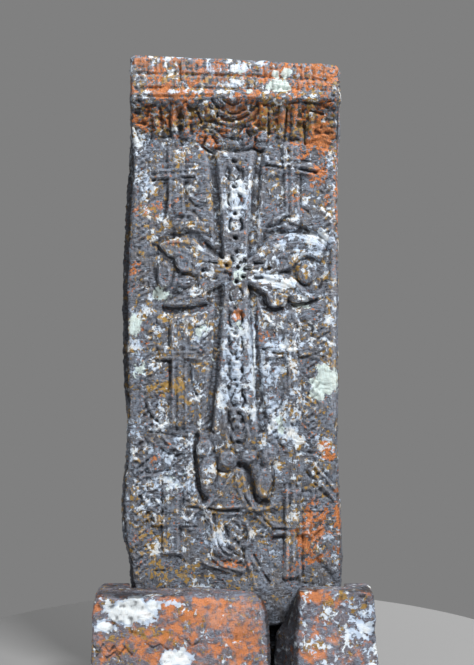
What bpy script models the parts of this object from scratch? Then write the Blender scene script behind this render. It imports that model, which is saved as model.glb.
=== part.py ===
"""A khachkar: an upright slab carved with a great cross over paired leaves, six small crosses, a
cove and an inscribed cornice, wedged at its foot by two rough base stones.

Metres, +Z up. The carved face looks along -Y. The origin is the middle of the slab's underside.
Every carved shape is an outline drawn on the face (x across, z up), and is raised from it or cut
into it, following the face where that curves.
"""

import math

import bmesh
import bpy
from mathutils import Vector, noise

# The slab
SLAB_HEIGHT = 2.158
SLAB_DEPTH = 0.220
LEFT_REACH = 0.357
RIGHT_REACH = 0.352
ARRIS_INSET = 0.014
BACK_ROUNDING = 0.018
TOP_SLOPE = 0.050
ROUGHNESS = 0.005

# The cornice and the cove under it
CORNICE_REACH = 0.066
ROLL_REACH = 0.012
ROLL_HEIGHT = 0.030
FASCIA_HEIGHT = 0.120
COVE_HEIGHT = 0.155
ROLL_FOOT = SLAB_HEIGHT - FASCIA_HEIGHT - ROLL_HEIGHT
COVE_FOOT = ROLL_FOOT - COVE_HEIGHT

# The rough boss that stands out of the slab's foot, between the base stones
BOSS_X = 0.075
BOSS_HALF_WIDTH = 0.170
BOSS_REACH = 0.085
BOSS_FOOT = 0.245
BOSS_LEDGE = 0.018
BOSS_FADE = 0.270

# The base stones
LEFT_STONE_HEIGHT = 0.368
RIGHT_STONE_HEIGHT = 0.388
LEFT_STONE_FALL = 0.006
RIGHT_STONE_FALL = 0.028
STONE_FRONT = -0.277
STONE_EAR_BACK = -0.052
LEFT_STONE_OUTER = -0.462
LEFT_STONE_INNER = 0.106
RIGHT_STONE_OUTER = 0.455
RIGHT_STONE_INNER = 0.200
RIGHT_STONE_TOE = 0.118
STONE_BATTER = 0.014
STONE_ROUNDING = 0.016
SETTING_GAP = 0.007

# The great cross
CROSS_X = 0.000
CROSS_DROP = 0.575
HUB_HALF = 0.042
TOP_ARM = 0.414
TOP_ARM_HALF = 0.070
FOOT_ARM_HALF = 0.080
ARM_END_HOLLOW = 0.010
CHANNEL_WIDTH = 0.028
CHANNEL_DEPTH = 0.017

# The leaves stand over the base stones, and the cross reaches down to just over the leaves
LEAVES_OVER_STONES = 0.240
CROSS_OVER_LEAVES = 0.260
LEAVES_Z = max(LEFT_STONE_HEIGHT, RIGHT_STONE_HEIGHT) + LEAVES_OVER_STONES
CROSS_Z = ROLL_FOOT - CROSS_DROP
FOOT_ARM = CROSS_Z - LEAVES_Z - CROSS_OVER_LEAVES

# The relief
CROSS_RISE = 0.010
BUD_RISE = 0.009
LEAF_RISE = 0.016
SMALL_CROSS_RISE = 0.011
STRAND_RISE = 0.009
STRAND_HALF = 0.010
RELIEF_ROOT = 0.030
EDGE_WEAR = 0.003
FINE_WEAR = 0.002
RISE_STEP = 0.0004

# The drilled eyes and slits of the plait on the great cross, and the strokes of the cornice
EYE_RADIUS = 0.006
EYE_DEPTH = 0.011
EYE_PITCH = 0.086
SLIT_LENGTH = 0.042
SLIT_WIDTH = 0.007
SLIT_DEPTH = 0.007
STROKE_WIDTH = 0.007
STROKE_PITCH = 0.028
STROKE_HEIGHT = 0.036
STROKE_DEPTH = 0.003
RULE_WIDTH = 0.005
RULE_DEPTH = 0.004

BACK = SLAB_DEPTH / 2
FACE = -BACK


def clear_scene():
    for obj in list(bpy.data.objects):
        bpy.data.objects.remove(obj)


def collection(name, hidden):
    made = bpy.data.collections.new(name)
    bpy.context.scene.collection.children.link(made)
    made.hide_render = hidden
    return made


def material(name, colour, roughness):
    made = bpy.data.materials.new(name)
    made.use_nodes = True
    shader = made.node_tree.nodes["Principled BSDF"]
    shader.inputs["Base Color"].default_value = (*colour, 1.0)
    shader.inputs["Roughness"].default_value = roughness
    shader.inputs["Metallic"].default_value = 0.0
    return made


def smooth_step(start, end, value):
    share = min(1.0, max(0.0, (value - start) / (end - start)))
    return share * share * (3 - 2 * share)


def along(stations, z):
    """The value at height z on straight runs between (z, value) stations."""
    for (z0, value0), (z1, value1) in zip(stations, stations[1:]):
        if z <= z1:
            share = min(1.0, max(0.0, (z - z0) / (z1 - z0)))
            return value0 + share * (value1 - value0)
    return stations[-1][1]


# The slab's sides bulge and dip as the quarry left them: (height share, extra reach).
LEFT_BULGE = (
    (0.00, 0.000), (0.17, 0.002), (0.20, 0.010), (0.24, 0.032), (0.29, 0.038), (0.34, 0.031),
    (0.41, 0.018), (0.46, 0.016), (0.48, 0.030), (0.62, 0.032), (0.78, 0.019), (0.86, 0.007),
    (1.00, 0.002),
)
RIGHT_BULGE = (
    (0.00, 0.002), (0.20, 0.014), (0.28, 0.013), (0.42, 0.003), (0.52, 0.001), (0.70, 0.003),
    (0.92, 0.005), (0.96, 0.006), (1.00, 0.002),
)


def left_edge(z):
    return -LEFT_REACH - along(LEFT_BULGE, z / SLAB_HEIGHT)


def right_edge(z):
    return RIGHT_REACH + along(RIGHT_BULGE, z / SLAB_HEIGHT)


def boss(x, z):
    """How far the rough boss at the foot stands out of the face."""
    across = max(0.0, 1 - ((x - BOSS_X) / BOSS_HALF_WIDTH) ** 2)
    rising = smooth_step(BOSS_FOOT - BOSS_LEDGE, BOSS_FOOT, z)
    fading = 1 - smooth_step(BOSS_FOOT + BOSS_LEDGE, BOSS_FOOT + BOSS_FADE, z)
    return BOSS_REACH * across * across * rising * fading


def face_y(x, z):
    """Where the slab's face lies at (x, z), before any carving."""
    cove = min(1.0, max(0.0, (z - COVE_FOOT) / COVE_HEIGHT))
    reach = CORNICE_REACH * cove**1.7
    if ROLL_FOOT < z < ROLL_FOOT + ROLL_HEIGHT:
        reach += ROLL_REACH
    return FACE - reach - boss(x, z)


def cut_box(name, x_shares, y_shares, z_shares, place, home):
    """A box with loop cuts at these shares of its sides, each corner then moved by place(u, v, w)."""
    mesh = bmesh.new()
    bmesh.ops.create_cube(mesh, size=1.0)
    bmesh.ops.translate(mesh, verts=mesh.verts, vec=(0.5, 0.5, 0.5))
    for axis, shares in enumerate((x_shares, y_shares, z_shares)):
        normal = Vector([float(axis == i) for i in range(3)])
        for share in shares:
            everything = mesh.verts[:] + mesh.edges[:] + mesh.faces[:]
            bmesh.ops.bisect_plane(mesh, geom=everything, plane_co=normal * share, plane_no=normal)
    for vert in mesh.verts:
        vert.co = place(*vert.co)
    bmesh.ops.triangulate(mesh, faces=mesh.faces)
    data = bpy.data.meshes.new(name)
    mesh.to_mesh(data)
    mesh.free()
    obj = bpy.data.objects.new(name, data)
    home.objects.link(obj)
    return obj


def rough(x, y, z, amount):
    """A rough-hewn shift along X and Y, the same each run."""
    place = Vector((x, y, z)) * 6.0
    return amount * noise.noise(place), amount * noise.noise(place + Vector((9.3, 4.1, 2.7)))


SIDE_CUTS = (0.2, 0.9)
COLUMNS = 10
SET_ROWS = 3
FIELD_ROWS = 14
COVE_ROWS = 5
EDGE_SHARPNESS = 0.001


def slab_rows():
    """Heights of the slab's loop cuts: close together where its profile turns."""
    field_foot = max(LEFT_STONE_HEIGHT, RIGHT_STONE_HEIGHT) + 4 * SETTING_GAP
    rows = [BOSS_FOOT - BOSS_LEDGE, BOSS_FOOT - BOSS_LEDGE / 2, BOSS_FOOT, BOSS_FOOT / 2]
    rows += [BOSS_FOOT + (field_foot - BOSS_FOOT) * i / SET_ROWS for i in range(1, SET_ROWS)]
    rows += [field_foot + (COVE_FOOT - field_foot) * i / FIELD_ROWS for i in range(FIELD_ROWS)]
    rows += [COVE_FOOT + COVE_HEIGHT * i / COVE_ROWS for i in range(COVE_ROWS)]
    for step in (ROLL_FOOT, ROLL_FOOT + ROLL_HEIGHT):
        rows += [step, step + EDGE_SHARPNESS]
    rows.append(SLAB_HEIGHT - ARRIS_INSET)
    return rows


def slab_point(u, v, w):
    z = w * SLAB_HEIGHT
    left, right = left_edge(z), right_edge(z)
    front_inset = ARRIS_INSET if v < SIDE_CUTS[0] / 2 else 0.0
    back_inset = BACK_ROUNDING if v > (1 + SIDE_CUTS[1]) / 2 else 0.0
    top_inset = ARRIS_INSET if z > SLAB_HEIGHT - ARRIS_INSET / 2 else 0.0
    inset = front_inset + back_inset + top_inset / 2
    x = left + inset + u * (right - left - 2 * inset)
    front = face_y(x, z) + top_inset
    y = front + v * (BACK - front)
    if v > 0.01:
        shift_x, shift_y = rough(x, y, z, ROUGHNESS if z > RIGHT_STONE_HEIGHT + SETTING_GAP else 0.0)
        x, y = x + shift_x, y + shift_y
    leaning = smooth_step(ROLL_FOOT, SLAB_HEIGHT, z)
    return Vector((x, y, z - TOP_SLOPE * leaning * (x + LEFT_REACH)))


def slab_body(home):
    rows = [z / SLAB_HEIGHT for z in slab_rows()]
    columns = [i / COLUMNS for i in range(1, COLUMNS)]
    return cut_box("slab", columns, SIDE_CUTS, rows, slab_point, home)


# Outlines: lists of (x, z) corners on the face.


def turned(points, x, z, tilt=0.0, side=1):
    """Points drawn round (0, 0), tilted by degrees, mirrored where side is -1, and moved to (x, z)."""
    cosine, sine = math.cos(math.radians(tilt)), math.sin(math.radians(tilt))
    placed = [(x + side * (a * cosine - b * sine), z + a * sine + b * cosine) for a, b in points]
    return placed if side > 0 else placed[::-1]


def oval(half_x, half_z, corners=12):
    steps = [2 * math.pi * i / corners for i in range(corners)]
    return [(half_x * math.cos(a), half_z * math.sin(a)) for a in steps]


def drop(half_width, length, corners=12):
    """A leaf that is round above and comes to a point below, centred on its middle."""
    steps = [2 * math.pi * i / corners - math.pi / 2 for i in range(corners)]
    widths = [half_width * (0.45 + 0.55 * math.sin((a + math.pi / 2) / 2)) for a in steps]
    return [(width * math.cos(a), length / 2 * math.sin(a)) for width, a in zip(widths, steps)]


def bar(half_foot, half_head, height):
    """An upright bar that widens or narrows, standing on (0, 0)."""
    return [(-half_foot, 0.0), (half_foot, 0.0), (half_head, height), (-half_head, height)]


def small_cross(half, up, down, reach, spread=1.4):
    """A cross with flared arms, centred where they meet."""
    wide = half * spread
    right = [
        (wide * 1.1, -down), (half, -half * 0.8), (reach, -wide * 0.9), (reach - half * 0.3, 0.0),
        (reach, wide), (half, half * 0.8), (wide, up),
    ]
    return right + [(-x, z) for x, z in reversed(right)]


def smooth_path(points, steps=3):
    """A Catmull-Rom curve through the points, with this many steps between two of them."""
    padded = [points[0]] + list(points) + [points[-1]]
    path = []
    for p0, p1, p2, p3 in zip(padded, padded[1:], padded[2:], padded[3:]):
        for i in range(steps):
            t = i / steps
            path.append(tuple(
                0.5 * (2 * b + (c - a) * t + (2 * a - 5 * b + 4 * c - d) * t * t
                       + (3 * b - a - 3 * c + d) * t**3)
                for a, b, c, d in zip(p0, p1, p2, p3)
            ))
    return path + [points[-1]]


def strand(points, half_width, end_half=None):
    """A band of even width along a smooth curve, or one that narrows to end_half."""
    path = smooth_path(points)
    end_half = half_width if end_half is None else end_half
    left, right = [], []
    for i, (x, z) in enumerate(path):
        before, after = path[max(0, i - 1)], path[min(len(path) - 1, i + 1)]
        dx, dz = after[0] - before[0], after[1] - before[1]
        length = math.hypot(dx, dz)
        half = half_width + (end_half - half_width) * i / (len(path) - 1)
        left.append((x - half * dz / length, z + half * dx / length))
        right.append((x + half * dz / length, z - half * dx / length))
    return right + left[::-1]


def arc_band(radius, half_width, start, end, steps=7):
    """A band along a circle round (0, 0), from start to end degrees."""
    angles = [math.radians(start + (end - start) * i / steps) for i in range(steps + 1)]
    outer, inner = radius + half_width, radius - half_width
    return [(outer * math.cos(a), outer * math.sin(a)) for a in angles] + [
        (inner * math.cos(a), inner * math.sin(a)) for a in reversed(angles)
    ]


def worn_inward(outline, wear):
    """The outline drawn in by this much, its corners mitred up to half as much again."""
    area = sum(x0 * z1 - x1 * z0 for (x0, z0), (x1, z1) in zip(outline, outline[1:] + outline[:1]))
    inward = math.copysign(1.0, area)
    drawn_in = []
    for i, (x, z) in enumerate(outline):
        before = Vector(outline[i - 1])
        after = Vector(outline[(i + 1) % len(outline)])
        coming = (Vector((x, z)) - before).normalized()
        going = (after - Vector((x, z))).normalized()
        normal = Vector((-coming.y - going.y, coming.x + going.x)) * inward
        mitre = min(1.5, 2 / max(normal.length, 0.1))
        drawn_in.append(Vector((x, z)) + normal.normalized() * wear * mitre)
    return drawn_in


def flat_solid(name, outline, low, high, wear, home):
    """The outline as a solid from low to high above the face, following it, drawn in at its top."""
    mesh = bmesh.new()
    rings = []
    for height, ring in ((low, [Vector(point) for point in outline]), (high, worn_inward(outline, wear))):
        rings.append([mesh.verts.new((point.x, height, point.y)) for point in ring])
        mesh.faces.new(rings[-1])
    for i in range(len(outline)):
        mesh.faces.new((rings[0][i - 1], rings[0][i], rings[1][i], rings[1][i - 1]))
    mesh.normal_update()
    bmesh.ops.triangulate(mesh, faces=mesh.faces)
    for vert in mesh.verts:
        x, height, z = vert.co
        vert.co.y = face_y(x, z) - height
    mesh.normal_update()
    bmesh.ops.recalc_face_normals(mesh, faces=mesh.faces)
    data = bpy.data.meshes.new(name)
    mesh.to_mesh(data)
    mesh.free()
    solid = bpy.data.objects.new(name, data)
    solid.hide_render = True
    solid.display_type = "WIRE"
    home.objects.link(solid)


class Carving:
    """Raises and cuts outlines, each at its own height so that no two faces lie in one plane."""

    def __init__(self):
        self.channel = collection("channel", True)
        self.relief = collection("relief", True)
        self.cuts = collection("cuts", True)
        self.count = 0

    def step(self):
        self.count += 1
        return RISE_STEP * (self.count % 7)

    def raise_up(self, name, outline, rise, wear=EDGE_WEAR):
        flat_solid(name, outline, -RELIEF_ROOT - self.step(), rise + self.step(), wear, self.relief)

    def sink(self, name, outline, depth, home=None):
        flat_solid(name, outline, -depth - self.step(), RELIEF_ROOT, 0.0, home or self.cuts)


def shaft_outline(grow):
    """The great cross's upright, waisted at the hub; grow widens it into the channel beside it."""
    top, foot = TOP_ARM + grow * 0.4, FOOT_ARM + grow * 0.2
    right = [
        (FOOT_ARM_HALF + grow, -foot), (HUB_HALF * 1.3 + grow, -foot * 0.55), (HUB_HALF + grow, -HUB_HALF),
        (HUB_HALF + grow, HUB_HALF), (HUB_HALF * 1.15 + grow, top * 0.45), (TOP_ARM_HALF + grow, top),
    ]
    left = [(-x, z) for x, z in reversed(right)]
    return right + [(0.0, top - ARM_END_HOLLOW)] + left


LEFT_ARM = (
    (-0.030, 0.032), (-0.077, 0.054), (-0.111, 0.078), (-0.131, 0.105), (-0.168, 0.119), (-0.223, 0.109),
    (-0.264, 0.088), (-0.240, 0.058), (-0.213, 0.041), (-0.199, 0.007), (-0.160, -0.008), (-0.134, -0.017),
    (-0.128, -0.050), (-0.168, -0.065), (-0.202, -0.085), (-0.250, -0.119), (-0.216, -0.129),
    (-0.128, -0.126), (-0.097, -0.109), (-0.092, -0.071), (-0.030, -0.040),
)
RIGHT_ARM = (
    (0.030, 0.032), (0.073, 0.063), (0.100, 0.095), (0.112, 0.119), (0.185, 0.132), (0.265, 0.120),
    (0.306, 0.084), (0.294, 0.031), (0.258, 0.049), (0.219, 0.042), (0.192, 0.008), (0.152, -0.004),
    (0.188, -0.014), (0.226, -0.052), (0.277, -0.096), (0.236, -0.110), (0.192, -0.112), (0.179, -0.096),
    (0.165, -0.119), (0.134, -0.129), (0.104, -0.112), (0.096, -0.083), (0.030, -0.042),
)
LEFT_FIELD = (
    (-0.020, 0.055), (-0.062, 0.070), (-0.104, 0.104), (-0.125, 0.134), (-0.170, 0.140), (-0.230, 0.128),
    (-0.286, 0.094), (-0.282, -0.080), (-0.277, -0.134), (-0.215, -0.147), (-0.120, -0.144),
    (-0.080, -0.118), (-0.072, -0.080), (-0.020, -0.058),
)
RIGHT_FIELD = (
    (0.020, 0.055), (0.058, 0.078), (0.082, 0.108), (0.094, 0.136), (0.185, 0.150), (0.276, 0.138),
    (0.326, 0.090), (0.322, -0.020), (0.302, -0.096), (0.240, -0.129), (0.190, -0.131), (0.165, -0.142),
    (0.130, -0.149), (0.088, -0.130), (0.078, -0.096), (0.020, -0.062),
)


def at_cross(outline):
    return turned(outline, CROSS_X, CROSS_Z)


def carve_great_cross(carving):
    """The upright and the side arms, whose ends split into leaves, in a channel and a sunk field."""
    carving.sink("channel", at_cross(shaft_outline(CHANNEL_WIDTH)), CHANNEL_DEPTH, carving.channel)
    carving.sink("left_field", at_cross(LEFT_FIELD), CHANNEL_DEPTH * 0.8, carving.channel)
    carving.sink("right_field", at_cross(RIGHT_FIELD), CHANNEL_DEPTH * 0.8, carving.channel)
    carving.raise_up("great_cross", at_cross(shaft_outline(0.0)), CROSS_RISE)
    carving.raise_up("left_arm", at_cross(LEFT_ARM), CROSS_RISE)
    carving.raise_up("right_arm", at_cross(RIGHT_ARM), CROSS_RISE)


def carve_side_buds(carving):
    """The fruit between the two leaves of each side arm, and the lobe beside it."""
    buds = (
        ("left_fruit", oval(0.031, 0.022), -0.166, -0.036),
        ("left_outer_lobe", oval(0.025, 0.050), -0.242, -0.014),
        ("right_fruit", oval(0.034, 0.037), 0.243, -0.010),
        ("right_bulb", oval(0.030, 0.029), 0.135, -0.100),
        ("right_inner_lobe", oval(0.028, 0.026), 0.160, 0.032),
        ("left_inner_lobe", oval(0.026, 0.028), -0.176, 0.022),
    )
    for name, outline, x, z in buds:
        carving.raise_up(name, turned(outline, CROSS_X + x, CROSS_Z + z), BUD_RISE)


def carve_top_buds(carving):
    for side, word in ((-1, "left"), (1, "right")):
        for name, outline, x, z, tilt in (
            ("top_lobe", oval(0.022, 0.020), 0.088, 0.433, 0),
            ("top_leaf", drop(0.016, 0.070), 0.060, 0.457, 150),
        ):
            bud = turned(outline, CROSS_X + side * x, CROSS_Z + z, tilt, side)
            carving.raise_up(f"{word}_{name}", bud, BUD_RISE)


def carve_small_crosses(carving):
    """Three pairs, not quite even: above the side arms, below them, and beside the foot."""
    half = 0.023
    crosses = (
        ("upper_left", -0.200, CROSS_Z + 0.325, 0.085, 0.135, 0.078),
        ("upper_right", 0.186, CROSS_Z + 0.345, 0.090, 0.150, 0.085),
        ("lower_left", -0.194, CROSS_Z - 0.281, 0.095, 0.250, 0.072),
        ("lower_right", 0.191, CROSS_Z - 0.273, 0.080, 0.245, 0.100),
        ("foot_left", -0.212, LEAVES_Z - 0.050, 0.115, 0.110, 0.072),
        ("foot_right", 0.190, LEAVES_Z - 0.072, 0.140, 0.165, 0.068),
    )
    for name, x, z, up, down, reach in crosses:
        outline = turned(small_cross(half, up, down, reach), CROSS_X + x, z)
        carving.raise_up(f"small_cross_{name}", outline, SMALL_CROSS_RISE)


def carve_arches(carving):
    """The arched feet under the upper pair of small crosses, and the cusps over the lower pair."""
    for side, word in ((-1, "left"), (1, "right")):
        x = CROSS_X + side * 0.185
        arch = turned(arc_band(0.060, 0.011, 12, 168), x, CROSS_Z + 0.139, 0, side)
        core = turned(oval(0.034, 0.024), x, CROSS_Z + 0.157, 0, side)
        scroll = turned(arc_band(0.050, 0.010, -60, 75), x + side * 0.060, CROSS_Z - 0.448, 0, side)
        carving.raise_up(f"{word}_arch", arch, STRAND_RISE)
        carving.raise_up(f"{word}_arch_core", core, STRAND_RISE)
        carving.raise_up(f"{word}_scroll", scroll, STRAND_RISE)
        for place, offset in (("outer", side * 0.047), ("inner", side * -0.047)):
            cusp = turned(arc_band(0.034, 0.008, 195, 345, 6), x + offset, CROSS_Z - 0.148)
            carving.raise_up(f"{word}_{place}_cusp", cusp, STRAND_RISE)


def at_leaves(outline, x=0.0, z=0.0, tilt=0.0):
    return turned(outline, CROSS_X + x, LEAVES_Z + z, tilt)


def carve_leaves(carving):
    """The paired leaves that rise on both sides of the cross's foot, the tent between and its stems."""
    leaves = (
        ("left_leaf", drop(0.034, 0.150), -0.092, 0.107, 4),
        ("left_leaf_head", oval(0.031, 0.030), -0.106, 0.202, 0),
        ("right_leaf", drop(0.033, 0.145), 0.098, 0.084, -14),
        ("right_leaf_head", oval(0.026, 0.032), 0.113, 0.174, 0),
        ("left_bud", oval(0.029, 0.031), -0.028, 0.170, 0),
        ("right_bud", oval(0.030, 0.026), 0.046, 0.178, 0),
    )
    for name, outline, x, z, tilt in leaves:
        carving.raise_up(name, at_leaves(outline, x, z, tilt), LEAF_RISE)
    tent = [
        (-0.085, 0.000), (0.030, -0.008), (0.036, 0.062), (0.018, 0.132), (-0.010, 0.136),
        (-0.050, 0.082),
    ]
    carving.raise_up("tent", at_leaves(tent), STRAND_RISE)
    stems = (
        ("stem_right", [(0.012, 0.134), (0.030, 0.062), (0.066, 0.004), (0.132, -0.068)], 0.010),
        ("stem_left", [(-0.052, 0.094), (-0.070, 0.040), (-0.104, 0.002), (-0.150, -0.018)], 0.010),
        ("branch_right", [(0.066, 0.004), (0.105, 0.000), (0.142, 0.017)], 0.009),
        ("branch_left", [(-0.104, 0.002), (-0.084, -0.058), (-0.070, -0.128), (-0.030, -0.173)], 0.011),
        ("sill", [(-0.104, 0.002), (-0.050, -0.016), (0.010, -0.018), (0.066, 0.004)], 0.009),
    )
    for name, points, half in stems:
        carving.raise_up(name, at_leaves(strand(points, half)), STRAND_RISE)


def carve_knot(carving):
    """The knot of looped strands under the leaves, and the ribs that run out of it to the boss."""
    strands = (
        ("loop_left",
         [(-0.040, -0.038), (-0.058, -0.088), (-0.034, -0.136), (0.010, -0.148), (0.030, -0.183)]),
        ("loop_right",
         [(0.020, -0.038), (0.052, -0.072), (0.046, -0.116), (0.000, -0.130), (-0.022, -0.098)]),
        ("loop_core", [(-0.014, -0.062), (0.004, -0.072), (0.016, -0.092)]),
        ("rib_left", [(-0.120, -0.176), (-0.070, -0.196), (-0.010, -0.192), (0.030, -0.216)]),
        ("rib_right", [(0.052, -0.158), (0.078, -0.196), (0.112, -0.222)]),
        ("rib_outer", [(0.078, -0.128), (0.110, -0.166), (0.150, -0.196)]),
    )
    for name, points in strands:
        carving.raise_up(name, at_leaves(strand(points, STRAND_HALF)), STRAND_RISE)


def carve_cove(carving):
    """The cove's drapery arcs, its bosses and roundels, and the bars between them."""
    for i, radius in enumerate((0.046, 0.068, 0.090)):
        band = arc_band(radius, 0.007, 205 + 6 * i, 335 - 6 * i, 6)
        swag = turned(band, CROSS_X - 0.010, ROLL_FOOT + 0.010)
        carving.raise_up(f"drapery_{i + 1}", swag, STRAND_RISE, FINE_WEAR)
    for side, word in ((-1, "left"), (1, "right")):
        cove_boss = turned(oval(0.028, 0.030), CROSS_X + side * 0.104 - 0.008, COVE_FOOT + 0.104)
        ring = arc_band(0.022, 0.006, -120, 200, 9)
        roundel = turned(ring, CROSS_X + side * 0.046 + 0.004, COVE_FOOT + 0.049)
        carving.raise_up(f"{word}_cove_boss", cove_boss, STRAND_RISE)
        carving.raise_up(f"{word}_roundel", roundel, STRAND_RISE, FINE_WEAR)
        for i, x in enumerate((0.162, 0.204, 0.262)):
            post = turned(bar(0.012, 0.010, 0.105), CROSS_X + side * x - 0.004, COVE_FOOT + 0.030)
            carving.raise_up(f"{word}_post_{i + 1}", post, STRAND_RISE)


def carve_plait(carving):
    """The drilled eyes down the middle of the cross, with a slit on both sides between two eyes."""
    eye = oval(EYE_RADIUS, EYE_RADIUS, 6)
    first = EYE_PITCH * 1.3
    above = [first + EYE_PITCH * i for i in range(int((TOP_ARM - first) / EYE_PITCH) + 1)]
    below = [-first - EYE_PITCH * i for i in range(int((FOOT_ARM - first) / EYE_PITCH) + 1)]
    for i, z in enumerate(above + below):
        carving.sink(f"eye_{i + 1}", at_cross(turned(eye, 0.0, z)), EYE_DEPTH)
        if z == above[0]:
            continue
        for side, word in ((-1, "left"), (1, "right")):
            curve = arc_band(SLIT_LENGTH, SLIT_WIDTH / 2, -29, 29, 3)
            slit = turned(curve, side * -0.018, z - EYE_PITCH / 2, 0, side)
            carving.sink(f"slit_{word}_{i + 1}", at_cross(slit), SLIT_DEPTH)
    for i in range(8):
        angle = math.radians(45 * i + 10)
        spot = (0.8 * HUB_HALF * math.cos(angle), 0.8 * HUB_HALF * math.sin(angle))
        carving.sink(f"hub_eye_{i + 1}", at_cross(turned(eye, *spot)), EYE_DEPTH)
    for side, word in ((-1, "left"), (1, "right")):
        carving.sink(f"arm_eye_{word}", at_cross(turned(eye, side * 0.100, 0.004)), EYE_DEPTH)
        for place, z in (("upper", 0.026), ("lower", -0.026)):
            slot = turned(oval(0.014, 0.005, 6), side * 0.072, z)
            carving.sink(f"{place}_slot_{word}", at_cross(slot), SLIT_DEPTH)


def carve_inscription(carving):
    """Two rows of worn strokes on the cornice that are not letters, each with a rule under it."""
    fascia_foot = ROLL_FOOT + ROLL_HEIGHT
    for word, foot in (("lower", fascia_foot + 0.002), ("upper", fascia_foot + 0.056)):
        fall = TOP_SLOPE * 0.6 if word == "upper" else 0.0
        rule = [(-0.340, foot), (0.335, foot - fall * 0.675), (0.335, foot - fall * 0.675 + RULE_WIDTH)]
        carving.sink(f"rule_{word}", rule + [(-0.340, foot + RULE_WIDTH)], RULE_DEPTH)
    row_feet = (fascia_foot + 0.012, fascia_foot + 0.066)
    count = int((LEFT_REACH + RIGHT_REACH - 0.10) / STROKE_PITCH)
    for row, foot in enumerate(row_feet):
        for i in range(count):
            x = -LEFT_REACH + 0.055 + STROKE_PITCH * i
            lean = 0.004 * math.sin(2.4 * i + row)
            height = STROKE_HEIGHT * (0.75 + 0.25 * math.sin(5.1 * i + 2 * row))
            z = foot - TOP_SLOPE * row * (x + LEFT_REACH) * 0.6
            stroke = [(0.0, 0.0), (STROKE_WIDTH, 0.0), (STROKE_WIDTH + lean, height), (lean, height)]
            carving.sink(f"stroke_{row + 1}_{i + 1}", turned(stroke, x, z), STROKE_DEPTH)


def boolean(obj, name, operation, operands):
    modifier = obj.modifiers.new(name, "BOOLEAN")
    modifier.operation = operation
    modifier.solver = "EXACT"
    modifier.operand_type = "COLLECTION"
    modifier.collection = operands


def make_slab(home, look):
    carving = Carving()
    carve_great_cross(carving)
    carve_side_buds(carving)
    carve_top_buds(carving)
    carve_small_crosses(carving)
    carve_arches(carving)
    carve_leaves(carving)
    carve_knot(carving)
    carve_cove(carving)
    carve_plait(carving)
    carve_inscription(carving)
    slab = slab_body(home)
    boolean(slab, "sink the channel", "DIFFERENCE", carving.channel)
    boolean(slab, "raise the relief", "UNION", carving.relief)
    boolean(slab, "drill and cut", "DIFFERENCE", carving.cuts)
    slab.data.materials.append(look)


def stone_back(x):
    """How far back a base stone reaches at x: close up to the slab, or past it as an ear beside it."""
    beside = x < left_edge(0.0) - SETTING_GAP or x > right_edge(RIGHT_STONE_HEIGHT) + SETTING_GAP
    if beside:
        return STONE_EAR_BACK
    return FACE - boss(x, BOSS_FOOT + BOSS_LEDGE) - SETTING_GAP


def base_stone(name, inner_at, outer, height, fall, home, look):
    """A stone from its outer side to its inner one, at inner_at(v, w), its top falling to the back."""
    slab_side = right_edge(height) if outer > 0 else left_edge(0.0)
    ear = slab_side + math.copysign(SETTING_GAP + EDGE_SHARPNESS, outer)
    ear_share = (ear - outer) / (inner_at(0.0, 0.0) - outer)
    step_share = ear_share + 0.02
    columns = [ear_share, step_share] + [step_share + (1 - step_share) * i / 6 for i in range(1, 6)]
    if outer > 0:
        columns = [1 - share for share in columns]

    def place(u, v, w):
        share = 1 - u if outer > 0 else u
        if share <= ear_share + 0.001:
            x = outer + (ear - outer) * share / ear_share
            back = STONE_EAR_BACK
        else:
            x = ear + (inner_at(v, w) - ear) * (share - ear_share) / (1 - ear_share)
            back = stone_back(x)
        y = STONE_FRONT + v * (back - STONE_FRONT)
        batter = STONE_BATTER * (1 - w)
        if share < 0.001:
            x += math.copysign(batter, outer)
        if v < 0.01:
            y -= batter
        return Vector((x, y, w * (height - fall * v)))

    stone = cut_box(name, columns, (0.5,), (0.35, 0.62, 0.85), place, home)
    edges = stone.modifiers.new("worn edges", "BEVEL")
    edges.width = STONE_ROUNDING
    edges.segments = 2
    edges.limit_method = "ANGLE"
    edges.angle_limit = math.radians(60)
    stone.data.materials.append(look)


def left_inner(v, w):
    return LEFT_STONE_INNER - 0.016 * v - 0.020 * smooth_step(0.80, 1.0, w) + STONE_BATTER * (1 - w)


def right_inner(v, w):
    """The right stone's broken inner side: it runs out to a toe at the back and low down."""
    toe = (RIGHT_STONE_INNER - RIGHT_STONE_TOE) * v * (1 - smooth_step(0.55, 1.0, w))
    return RIGHT_STONE_INNER - toe + 0.012 * w * v


def main():
    clear_scene()
    khachkar = collection("khachkar", False)
    carved = material("carved_stone", (0.16, 0.15, 0.17), 0.9)
    plain = material("base_stone", (0.30, 0.19, 0.15), 0.9)
    make_slab(khachkar, carved)
    left_size = (LEFT_STONE_OUTER, LEFT_STONE_HEIGHT, LEFT_STONE_FALL)
    right_size = (RIGHT_STONE_OUTER, RIGHT_STONE_HEIGHT, RIGHT_STONE_FALL)
    base_stone("base_stone_left", left_inner, *left_size, khachkar, plain)
    base_stone("base_stone_right", right_inner, *right_size, khachkar, plain)


main()
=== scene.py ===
"""Dresses the khachkar's CAD frame as the worn, lichen-covered stone it is.

Each stone is one closed mesh that follows its CAD solid, with the finer carving, the rough dressing
and the wear added to it. The slab's carving is placed by where it stands in the photograph's frame.
"""

import math

import bpy
import numpy as np
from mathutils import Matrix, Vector
from mathutils.bvhtree import BVHTree


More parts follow.
